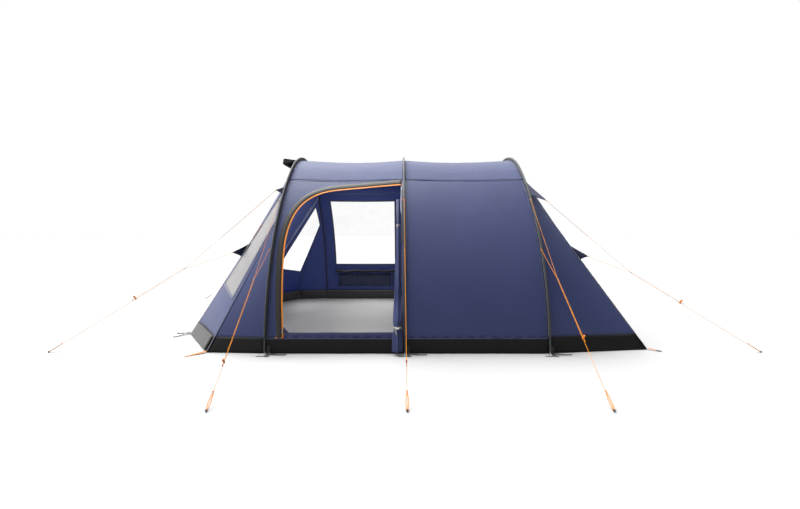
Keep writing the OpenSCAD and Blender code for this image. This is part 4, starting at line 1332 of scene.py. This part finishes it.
def bundle_mesh():
    """The side door's cloth, wound and fluted."""
    zs = np.linspace(BUNDLE_LOW, BUNDLE_TOP, 90)

    def fold(a, i):
        z = zs[i]
        return (0.15 * math.sin(5 * a + 2.2 * wob((0, 0, z), 2.5, 2) + 1.5 * z)
                + 0.10 * math.sin(9 * a + 3.0 * wob((1, 0, z), 3.2, 6) - 3 * z)
                + 0.04 * math.sin(17 * a + 6 * z + 2 * wob((2, 1, z), 5, 3)))

    depth = [bundle_at(z)[2] / bundle_at(z)[1] for z in zs]
    return rolled([bundle_at(z)[0] for z in zs], [(1, 0, 0)] * 90, [(0, -k, 0) for k in depth],
                  lambda i: door_width(zs[i]), lambda i: bundle_at(zs[i])[1], fold, 320)


door = piece("side_door_bundle", bundle_mesh(), "fly", "fly", "side_door", thick=(0.0008, 0))
ties = []
for k, (z, r) in enumerate(((0.235, 0.035), (1.12, 0.022))):
    c, w, h = bundle_at(z)
    ring_pts = [c + np.array([(w + 0.003) * math.cos(t), -(h + 0.003) * math.sin(t), 0.004 * math.sin(t)])
                for t in np.linspace(0, 2 * math.pi, 41)]
    hint = [np.array([math.cos(t), -math.sin(t), 0]) for t in np.linspace(0, 2 * math.pi, 41)]
    ties.append(ribbon(ring_pts, hint, 0.014, TAPE, 0.0002))
    start = c + np.array([-w * 0.3, -(h + 0.006), 0])
    tail = spline([start, start + (-0.006, -0.006, -0.02), start + (0.004, -0.004, -0.055)], 12)
    ties.append(ribbon(tail, np.array([0.2, -1, 0]), 0.010, 0.0012))
tie_o = piece("door_tie_tapes", ties, "tie", "tie", "door_ties")
declare((1.04, 1.36), 1.25)
place = axes((1, 0, 0), (0, 0, 1), (0, -1, 0), bundle_at(0.235)[0] + (0.005, -0.045, 0))
plate("door_tie_toggle", rounded(0.022, 0.007, 0.003), [circle(-0.004, 0, 0.0012), circle(0.004, 0, 0.0012)],
      0.0035, 0.0012, place, "toggle", "tie")
# pale piping along the hanging edge of the door at its head, and its two pull tabs
pts = spline([on_wall(-0.030, 1.535, True, -0.012), on_wall(-0.030, 1.45, True, -0.010),
              on_wall(-0.034, 1.33, True, -0.014), on_wall(-0.028, 1.24, True, -0.014)], 30)
piece("door_edge_piping", tube(pts, 0.0042, (0, -1, 0.3), 10), "piping", "fly")
tip = [pts[-1], pts[-1] + (0.001, 0.002, -0.012), pts[-1] + (0.001, 0.003, -0.024)]
piece("door_piping_tip", tube(tip, 0.0036, (0, -1, 0.2), 8), "dark_toggle", "buckle")
c = on_wall(-0.016, 1.37, True, 0.001)
pts = [c + np.array([0, -0.001, 0.020]), c, c + np.array([0.001, -0.001, -0.022])]
piece("door_head_tab", ribbon(spline(pts, 10), (0, -1, 0.5), 0.016, TAPE), "webbing_orange", "zip")
line = [(-0.022, z) for z in np.linspace(0.95, 1.50, 40)]
piece("door_jamb_strip", wall_ribbon(line, True, 0.016, TAPE, 0.0006), "sleeve", "sleeve")

# ---- far window's curtain roll and pocket ----
ROLL_Z = 0.446
ROLL_Y = arc_pt(angle_at(ROLL_Z, -0.034), -0.034)[0] - 0.030


def curtain_roll():
    """The curtain, rolled up and tied in four places."""
    n = 70
    ts = np.linspace(-0.02, 1.02, n)
    path = []
    for t in ts:
        sag = 0.016 * math.sin(math.pi * 3 * t) ** 2 * (0 < t < 1)
        path.append((lerp(WIN[0], WIN[1], t), ROLL_Y, ROLL_Z + 0.006 - sag))

    def fold(a, i):
        t = ts[i]
        return 0.09 * math.sin(4 * a + 5 * t + 2 * wob((t * 3, 0, 0), 2, 1)) + 0.05 * math.sin(9 * a - 9 * t)

    def radius(i):
        tie = sum(math.exp(-((ts[i] - q) / 0.012) ** 2) for q in (0.04, 0.345, 0.655, 0.96))
        return 0.023 * (1 - 0.25 * min(1, tie))

    return rolled(path, [(0, 1, 0)] * n, [(0, 0, 1)] * n, lambda i: 1.0, radius, fold, 300)


roll = piece("window_curtain_roll", curtain_roll(), "curtain", "curtain", "window_curtain", thick=(FILM, 0))
parts = []
for t, hang in ((0.04, 0.23), (0.345, 0.06), (0.655, 0.06), (0.96, 0.23)):
    x = lerp(WIN[0], WIN[1], t)
    turn = np.linspace(0, 2 * math.pi, 25)
    ring_pts = [(x, ROLL_Y + 0.022 * math.cos(a), ROLL_Z + 0.022 * math.sin(a)) for a in turn]
    parts.append(ribbon(ring_pts, [(0, math.cos(a), math.sin(a)) for a in turn], 0.012, 0.0012))
    low = ROLL_Z - 0.020
    tail = spline([(x, ROLL_Y - 0.016, low), (x + 0.003, ROLL_Y - 0.012, low - hang / 2),
                   (x - 0.003, ROLL_Y - 0.004 + 0.10 * hang, low - hang)], 12)
    parts.append(ribbon(tail, np.array([0, -1, 0.1]), 0.014, 0.0012))
ties_o = piece("curtain_ties", parts, "edge", "tie")
declare((0.96, 1.00), None)


POCKET = (-1.000, -0.190)


def pocket_fn(x, t):
    """Point of the pocket at share t of its height; it puffs out between its stitched divisions."""
    a = angle_at(lerp(0.200, 0.385, t), -0.034)
    cell = (x - POCKET[0]) / 0.27
    full = 0.3 + 0.7 * math.sin(math.pi * min(1, t + 0.12))
    puff = (0.004 + 0.006 * abs(math.sin(math.pi * cell)) ** 0.7) * full
    return at_arch(x, a, -0.036) - arch_out(a) * (0.0015 + puff * (t > 0.01) + 0.001 * wob((x, t, 0), 9, 2))


mesh = outward(grid_mesh(pocket_fn, np.linspace(*POCKET, 90), np.linspace(0, 1, 18)), (-0.5, 3.0, 0.3))
cloth("storage_pocket_cloth", mesh, "storage_pocket", "pocket", "pocket", (0.84, 0.20),
      cut=False, offset=0)
trim = [pocket_fn(x, 1.0) for x in np.linspace(*POCKET, 80)]
piece("storage_pocket_hem", ribbon(trim, np.array([0, -1, 0.4]), 0.016, 0.002), "edge", "pocket")

# ---- vent hood and its prop ----
HINGE = np.array([FRONT_X - 0.026, 0.0, RIDGE_Z - 0.038])
HOOD_L, HOOD_W, HOOD_RISE = 0.190, 0.170, math.radians(8)
HOOD_DROP = 0.074
HOOD_UP = np.array([math.sin(HOOD_RISE), 0, math.cos(HOOD_RISE)])
HOOD_FWD = np.array([-math.cos(HOOD_RISE), 0, math.sin(HOOD_RISE)])


def hood_fn(u, w):
    """Point of the hood's top; u across from -1 to 1, w from the hinge to the lip."""
    y = u * HOOD_W * (1 - 0.08 * (1 - w) ** 2)
    z = 0.0075 - y * y / 1.64 + 0.0012 * math.sin(math.pi * w) * math.cos(3 * u)
    z -= 0.006 * smooth((w - 0.9) / 0.1)
    return HINGE + HOOD_FWD * w * HOOD_L * (1 - 0.03 * u * u) + HOOD_UP * z + np.array([0, y, 0])


def hood_hang(u, w, h, depth):
    """Point of the valance hanging from the hood's edge at (u, w)."""
    top = hood_fn(u, w)
    local = float((top - HINGE) @ HOOD_UP)
    wave = 0.003 * h * wob((u * 3, w * 3, 0), 2, 3) * (w == 1)
    return top - HOOD_UP * (local + depth) * h + HOOD_FWD * wave


parts = [grid_mesh(hood_fn, np.linspace(-1, 1, 44), np.linspace(0, 1, 30)),
         grid_mesh(lambda u, h: hood_hang(u, 1, h, HOOD_DROP), np.linspace(-1, 1, 44), np.linspace(0, 1, 10))]
for side in (-1, 1):
    def flap(w, h, side=side):
        return hood_hang(side, w, h, lerp(0.018, HOOD_DROP, (w - 0.16) / 0.84))

    parts.append(grid_mesh(flap, np.linspace(0.16, 1, 24), np.linspace(0, 1, 8)))
parts = [outward(mesh, (-1.33, 0, 1.80)) for mesh in parts]
hood = piece("vent_hood_cloth", parts, "hood", "sleeve", "vent_hood", "vent_hood", (0.002,))
edges = [[hood_fn(t, 1.0) for t in np.linspace(-1, 1, 50)],
         [hood_hang(t, 1, 1, HOOD_DROP) for t in np.linspace(-1, 1, 50)]]
for side in (-1, 1):
    edges.append([hood_fn(side, w) for w in np.linspace(0, 1, 24)])
    edges.append([hood_hang(side, 1, h, HOOD_DROP) for h in np.linspace(0, 1, 10)])
parts = [tube(e, 0.0028, (0.3, 0.2, 1), 8) for e in edges]
axle = [HINGE + (0, y, 0) for y in np.linspace(-0.045, 0.045, 16)]
parts.append(tube(axle, 0.0042, (0, 0, 1), 10))
stiff = piece("vent_hood_edge", parts, "edge", "sleeve", body="vent_hood")
declare((0.46, 0.27), 0.10)
PROP, LEAN, PROP_L = np.array([FRONT_X - 0.0565, 0.0, RIDGE_Z - 0.118]), math.radians(35.6), 0.108
pd = np.array([-math.sin(LEAN), 0, math.cos(LEAN)])
pn = np.array([math.cos(LEAN), 0, math.sin(LEAN)])
outline = []
for s in np.linspace(0, 1, 17):
    outline.append((0.0088 - 0.0022 * math.sin(math.pi * s), lerp(-0.002, PROP_L - 0.004, s)))
outline += [(-q[0], q[1]) for q in reversed(outline)]
slot = [(a, b + PROP_L / 2) for a, b in rounded(0.007, 0.060, 0.003)][::-1]
prop = plate("vent_prop_strut", outline, [slot], 0.0022, 0.0007, axes((0, 1, 0), pd, pn * -1, PROP),
             "prop", "prop", "vent_prop")
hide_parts("vent_prop")
axle = [PROP + (0, y, 0) for y in np.linspace(-0.009, 0.009, 8)]
piece("vent_prop_pivot", tube(axle, 0.003, (0, 0, 1), 12), "prop", "prop", body="vent_prop")

# ---- floors ----
PLAN = [(-0.04, 1.290), (FRONT_X, 1.290), (-1.62, 1.250), (-2.09, 0.650)]


def tub_floor(loop):
    """A floor with slack folds that die out towards its rim."""
    co, tri = patch(loop, [], 0.030)
    rim = np.array(resample(loop, 0.02))
    verts = []
    for x, y in co:
        far = float(np.sqrt(np.min(np.sum((rim - (x, y)) ** 2, axis=1))))
        fold = 0.004 * abs(wob((x, y * 0.5, 0), 2.6, 4)) + 0.003 * max(0, wob((x * 0.35, y, 0), 6, 9))
        verts.append((x, y, 0.0032 + smooth(far / 0.10) * fold))
    tri = [t if np.cross(co[t[1]] - co[t[0]], co[t[2]] - co[t[0]]) > 0 else tuple(reversed(t)) for t in tri]
    return verts, tri, co


def tub_wall(a, b, mid_x):
    """One upright side of a tub, from a to b, with a rounded foot."""
    along = b - a
    out = np.array([along[1], -along[0]]) / np.linalg.norm(along)
    if out @ ((a + b) / 2 - np.array([mid_x, 0])) < 0:
        out = -out
    n = max(4, round(np.linalg.norm(along) / 0.03))

    def fn(s, h):
        p = lerp(a, b, s)
        k = bulge(s, 0.4)
        wave = k * (0.006 * wob((p[0], p[1], h), 3.5, 6) * h + 0.004 * math.sin(math.pi * h) * k)
        q = p - out * (0.003 + wave)
        sag = 0.004 * k * abs(wob((p[0], p[1], 0), 4, 2))
        return np.array([q[0], q[1], 0.004 + 0.134 * h - sag * h])

    return outward(grid_mesh(fn, np.linspace(0, 1, n), np.linspace(0, 1, 9)), (mid_x, 0, 0.07))


def tub(name, plan, floor_mat, wall_mat, slot, mid_x, flat):
    """A floor with upright walls and a bound top edge; plan is the far half of its outline."""
    loop = plan + [(x, -y) for x, y in reversed(plan)]
    cloth(f"{name}_floor", tub_floor(loop), name, floor_mat, slot, flat)
    sides = [(np.array(a), np.array(b)) for a, b in zip(loop, loop[1:] + loop[:1])]
    walls = [tub_wall(a, b, mid_x) for a, b in sides]
    around = length_of([*loop, loop[0]])
    cloth(f"{name}_wall", walls, name, wall_mat, slot, (0.14 * 4, around / 4))
    top = []
    for a, b in sides:
        edge = [(*lerp(a, b, t), 0.136) for t in np.linspace(0.01, 0.99, 20)]
        top.append(ribbon(edge, UP, 0.006, 0.003))
    piece(f"{name}_rim", top, "edge", slot)


tub("groundsheet", PLAN, "floor", "tub", "floor", -1.0, (2.05, 2.58))
BED_PLAN = [(0.046, 1.250), (REAR_X, 1.250), (2.060, 1.100)]
tub("inner_floor", BED_PLAN, "inner_floor", "inner_floor", "inner_floor", 1.2, (2.02, 2.50))

# ---- inner tent ----
INNER_OFF, INNER_X, INNER_A = -0.110, 0.046, 42.5
A_IN = angle_at(WALL_TOP, INNER_OFF)
IN_END, SLOPE_X, SLOPE_OFF = REAR_X - 0.030, REAR_X - 0.028, INNER_OFF - 0.004


def inner_pt(x, a):
    """Point of the hung shell, which sags between its toggles."""
    t = (x - INNER_X) / (IN_END - INNER_X)
    hang = 0.010 * abs(math.sin(math.pi * 3 * math.radians(a) * 1.6)) * math.sin(math.radians(a))
    belly = bulge(t)
    p = at_arch(x, a, INNER_OFF - 0.003)
    slack = 0.012 * math.sin(math.radians(a)) + 0.4 * hang + 0.004 * wob(p, 3, 14)
    return p - arch_out(a) * belly * slack


inner_parts = [grid_mesh(inner_pt, np.linspace(INNER_X, IN_END, 44), np.linspace(A_IN, 180 - A_IN, 130))]
INNER_HEM = (2.04, 1.09)
IHN, IHF = hem_pt(INNER_HEM, -1), hem_pt(INNER_HEM, 1)


def inner_slope(u, w):
    """Point of the inner tent's sloping back."""
    b, t = lerp(IHN, IHF, u), at_arch(SLOPE_X, lerp(180 - INNER_A, INNER_A, u), SLOPE_OFF)
    p = lerp(lerp(b, t, WALL_TOP / t[2]), t, w)
    rim = bulge(u) * bulge(w)
    return p - unit((1.0, 0, 0.5)) * rim * (0.02 + 0.004 * wob(p, 3, 2))


inner_parts.append(grid_mesh(inner_slope, np.linspace(0, 1, 60), np.linspace(0, 1, 46)))
for s in (-1, 1):
    foot, head = (0, INNER_A) if s > 0 else (180, 180 - INNER_A)

    def leg(w, foot=foot, head=head):
        return at_arch(SLOPE_X, lerp(foot, head, w), SLOPE_OFF)

    def gusset(u, w, s=s, leg=leg, seam=seam_line(hem_pt(INNER_HEM, s), leg(1))):
        return lerp(leg(w), seam(w), u) - (0, 0.010 * s * bulge(u) * bulge(w), 0)

    inner_parts.append(grid_mesh(gusset, np.linspace(0, 1, 14), np.linspace(0.1, 0.998, 40)))
inner_parts = [outward(mesh) for mesh in inner_parts]
cloth("inner_shell_cloth", inner_parts, "inner_shell", "inner", "inner", (2.9, 4.1))

DOOR_W, IZ0, IZ1, IZM = 0.52, 0.20, 1.45, 0.95
in_door = [(-DOOR_W, IZ0), (DOOR_W, IZ0)]
in_door += [(DOOR_W * math.cos(a), IZM + (IZ1 - IZM) * math.sin(a)) for a in np.linspace(0, math.pi, 21)]
outline = [arc_pt(A_IN + i * (180 - 2 * A_IN) / 60, INNER_OFF - 0.002) for i in range(61)]
co, tri = patch(outline, [in_door], 0.035)
verts = [(INNER_X - 0.006 + 0.004 * wob((0, y, z), 3, 31), y, z) for y, z in co]
cloth("inner_front_wall_cloth", outward((verts, tri, co), (1, 0, 0.8)), "inner_front_wall", "inner",
      "inner", (2.44, 1.70))
loop = resample(in_door, 0.03)
pts = [(INNER_X - 0.009, y, z) for y, z in loop + [loop[0]]]
piece("inner_door_binding", ribbon(pts, np.array([-1.0, 0, 0]), 0.022, TAPE), "edge", "inner")


def inner_roll():
    """The inner door, rolled and tied in two places."""
    n = 56
    zs = np.linspace(0.22, 1.12, n)

    def fold(a, i):
        z = zs[i]
        return 0.09 * math.sin(4 * a + 2 * wob((0, 0, z), 3, 1) + 2 * z) + 0.05 * math.sin(11 * a - 5 * z)

    def radius(i):
        return 0.026 * (1 - 0.22 * sum(math.exp(-((zs[i] - q) / 0.02) ** 2) for q in (0.42, 0.85)))

    path = [(0.080, 0.580, z) for z in zs]
    return rolled(path, [(1, 0, 0)] * n, [(0, 1, 0)] * n, lambda i: 1.04, radius, fold, 300)


iroll = piece("inner_door_roll", inner_roll(), "inner", "inner", "inner_door", thick=(FILM, 0))
parts = []
outs = [np.array([math.cos(a), math.sin(a), 0]) for a in np.linspace(0, 2 * math.pi, 25)]
for z in (0.42, 0.85):
    parts.append(ribbon([(0.080, 0.580, z) + 0.024 * n for n in outs], outs, 0.010, 0.0012))
it = piece("inner_door_ties", parts, "tie", "tie")
declare((0.90, 1.04), None)
place = np.array([INNER_X - 0.013, -DOOR_W - 0.010, IZ0 + 0.030])
slider_piece("inner_slider", place, UP, np.array([-1.0, 0, 0]), "inner_zip_slider", 0.9)
parts = []
for a in (20, 45, 70, 90, 110, 135, 160):
    for x in (0.07, 1.18):
        n = arch_out(a)
        c = at_arch(x, a, (INNER_OFF - 0.034) / 2)
        L = (0.110 - 0.034 - 0.006) / 2
        pts = [c - n * L, c - n * 0.2 * L, c + n * 0.3 * L, c + n * L]
        parts.append(tube(spline(pts, 12), 0.0013, (1, 0, 0.1), 6))
        bar = [c + n * 0.15 * L + np.array([s, 0, 0]) for s in np.linspace(-0.011, 0.011, 9)]
        parts.append(tube(bar, lambda i: 0.0036 * (1 - 0.35 * abs(i - 4) / 4), (0, 0.2, 1), 10))
piece("inner_toggle_set", parts, "dark_toggle", "elastic", "inner_toggles")

# ---- feet: straps, buckles, pegging loops; hem straps at the corners ----
STRAP_IN, STRAP_DX = HALF_W + FLY_OFF + 0.002, 0.018 + 0.0125


def foot_straps(x, s):
    """The strap through the buckle, the pegging bar and the loose end of the foot at x."""
    m = np.array([1, s, 1])
    x0 = x + STRAP_DX
    line = [(x0, STRAP_IN + 0.0012, 0.062), (x0, STRAP_IN + 0.0014, 0.03), (x0, STRAP_IN + 0.006, 0.004),
            (x0, STRAP_IN + 0.03, 0.0016), (x0 + 0.001, STRAP_IN + 0.058, 0.0016),
            (x0 + 0.004, STRAP_IN + 0.082, 0.0018)]
    line = spline(line, 36) * m
    hint = [lerp(np.array([0, s, 0]), UP, smooth((0.05 - p[2]) / 0.045)) for p in line]
    bar = spline([(x - 0.058, HALF_W + 0.040, 0.0016), (x, HALF_W + 0.038, 0.0022),
                  (x + 0.058, HALF_W + 0.040, 0.0016)], 16) * m
    end = spline([(x + 0.030, STRAP_IN + 0.020, 0.010), (x + 0.07, STRAP_IN + 0.030, 0.007),
                  (x + 0.125, STRAP_IN + 0.034, 0.003), (x + 0.19, STRAP_IN + 0.028, 0.0016)], 24) * m
    return [ribbon(line, hint, 0.025, TAPE), ribbon(bar, UP, 0.014, TAPE), ribbon(end, UP, 0.020, TAPE)]


def foot_buckle(name, x, s):
    """A ladder-lock buckle with two slots."""
    place = axes((1, 0, 0), (0, s, 0), (0, 0, s), (x + STRAP_DX, s * (STRAP_IN + 0.015), 0.0062))
    slots = [[(a, b + up) for a, b in rounded(0.025, 0.005, 0.0015)][::-1] for up in (-0.0045, 0.0045)]
    o = plate(name, rounded(0.033, 0.022, 0.004), slots, 0.0032, 0.0009, place, "buckle", "buckle")
    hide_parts("foot_buckles")


straps = []
feet = [(x, s) for x in (FRONT_X, MIDDLE_X, REAR_X) for s in (-1, 1)]
for n, (x, s) in enumerate(feet):
    straps += foot_straps(x, s)
    foot_buckle(f"foot_buckle_{n}", x, s)
piece("foot_strap_webbing", straps, "webbing", "webbing", "foot_straps")

def orange_pair(base, out, side):
    """Two narrow straps side by side, at the corner below the front pole."""
    found = []
    for k in (-1, 1):
        line = spline([base + side * k * 0.012, base + out * 0.05 + side * k * 0.010 - (0, 0, 0.004),
                       base + out * 0.12 + side * k * 0.004 - (0, 0, 0.0095),
                       base + out * 0.165 + side * k * 0.002 - (0, 0, 0.010)], 24)
        found.append(ribbon(line, UP, 0.016, TAPE))
    return found


def black_pair(base, out, side):
    """Two straps that spread from the front corner, with a stub at each end."""
    found = []
    for k in (-1, 1):
        e = unit(out + side * k * 0.55)
        line = spline([base + side * k * 0.01, base + e * 0.04, base + e * 0.10 - (0, 0, 0.008),
                       base + e * 0.15 - (0, 0, 0.0095)], 24)
        found.append(ribbon(line, UP, 0.018, 0.0018))
        stub = [line[-1] + e * far for far in (-0.004, 0.004, 0.010)]
        found.append(tube(stub, 0.0055, (0, 0, 1), 8))
    return found


hem_straps, hem_orange = [], []
for s in (-1, 1):
    for corner in (HEM_A, HEM_B, HEM_C):
        base = np.array([corner[0], s * corner[1], 0.012])
        out = unit((corner[0], s * corner[1] * 1.1, 0))
        side = np.cross(out, (0, 0, 1.0))
        if corner == HEM_A:
            hem_orange += orange_pair(base, out, side)
        elif corner == HEM_B:
            hem_straps += black_pair(base, out, side)
        else:
            line = spline([base, base + out * 0.03, base + out * 0.075 - (0, 0, 0.009)], 16)
            hem_orange.append(ribbon(line, UP, 0.020, 0.0018))
            line = spline([line[-2], line[-1] + out * 0.012, line[-1] + out * 0.028], 8)
            hem_straps.append(ribbon(line, UP, 0.021, 0.0026))
piece("hem_straps_black", hem_straps, "webbing", "webbing")
piece("hem_straps_orange", hem_orange, "webbing_orange", "webbing")

# ---- CAD parts that stay: their finishes ----
for node, mat in {"front_pole": "pole", "middle_pole": "pole", "rear_pole": "pole",
                  "pole_ferrules": "ferrule", "pole_shock_cords": "elastic", "foot_pins": "steel",
                  "guy_peg_heads": "peg"}.items():
    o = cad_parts[node]
    o.data.materials.clear()
    o.data.materials.append(M[mat])

# ---- ground and light ----
bpy.ops.mesh.primitive_plane_add(size=160, location=(0, 0, -0.0006))
ground = bpy.context.object
ground.name = "ground"
gm = Mat("ground", (168, 168, 168), 0.9, spec=0.0)
gm.tint(gm.noise(0.6, 2), 0.99, 1.01)
ground.data.materials.append(gm.m)
ground.visible_diffuse = False


def dome(tree, way, low, high, strength):
    """A background that brightens from low, facing away from way, to high, facing it."""
    n = tree.nodes.new
    tc, dot, span, ramp = (n("ShaderNodeTexCoord"), n("ShaderNodeVectorMath"), n("ShaderNodeMapRange"),
                           n("ShaderNodeValToRGB"))
    dot.operation = "DOT_PRODUCT"
    dot.inputs[1].default_value = unit(way)
    span.inputs["From Min"].default_value, span.inputs["From Max"].default_value = -0.25, 1.0
    ramp.color_ramp.interpolation = "EASE"
    ramp.color_ramp.elements[0].color = (low, low, low * 1.03, 1)
    ramp.color_ramp.elements[1].color = (high, high, high, 1)
    back = tree.nodes["Background"]
    back.inputs["Strength"].default_value = strength
    tree.links.new(tc.outputs["Generated"], dot.inputs[0])
    tree.links.new(dot.outputs["Value"], span.inputs["Value"])
    tree.links.new(span.outputs["Result"], ramp.inputs[0])
    tree.links.new(ramp.outputs[0], back.inputs["Color"])
    return back


world = bpy.data.worlds.new("studio")
bpy.context.scene.world = world
world.use_nodes = True
wt = world.node_tree
sky = dome(wt, (-0.55, 0.10, 0.82), 0.06, 1.0, 2.2)
seen = wt.nodes.new("ShaderNodeBackground")
seen.inputs["Color"].default_value, seen.inputs["Strength"].default_value = (1, 1, 1, 1), 1.0
path_n = wt.nodes.new("ShaderNodeLightPath")
mix = wt.nodes.new("ShaderNodeMixShader")
wt.links.new(path_n.outputs["Is Camera Ray"], mix.inputs[0])
wt.links.new(sky.outputs[0], mix.inputs[1])
wt.links.new(seen.outputs[0], mix.inputs[2])
wt.links.new(mix.outputs[0], wt.nodes["World Output"].inputs["Surface"])

sun = bpy.data.objects.new("top_light", bpy.data.lights.new("top_light", "SUN"))
sun.data.energy, sun.data.angle = 4.9, math.radians(50)
sun.rotation_euler = (math.radians(-14), math.radians(-20), 0)
bpy.context.scene.collection.objects.link(sun)

fill = bpy.data.objects.new("living_fill", bpy.data.lights.new("living_fill", "AREA"))
fill.data.shape, fill.data.size, fill.data.size_y, fill.data.energy = "RECTANGLE", 0.95, 0.6, 21
fill.location = (-0.60, 0.0, 1.66)
fill.visible_camera = False
bpy.context.scene.collection.objects.link(fill)
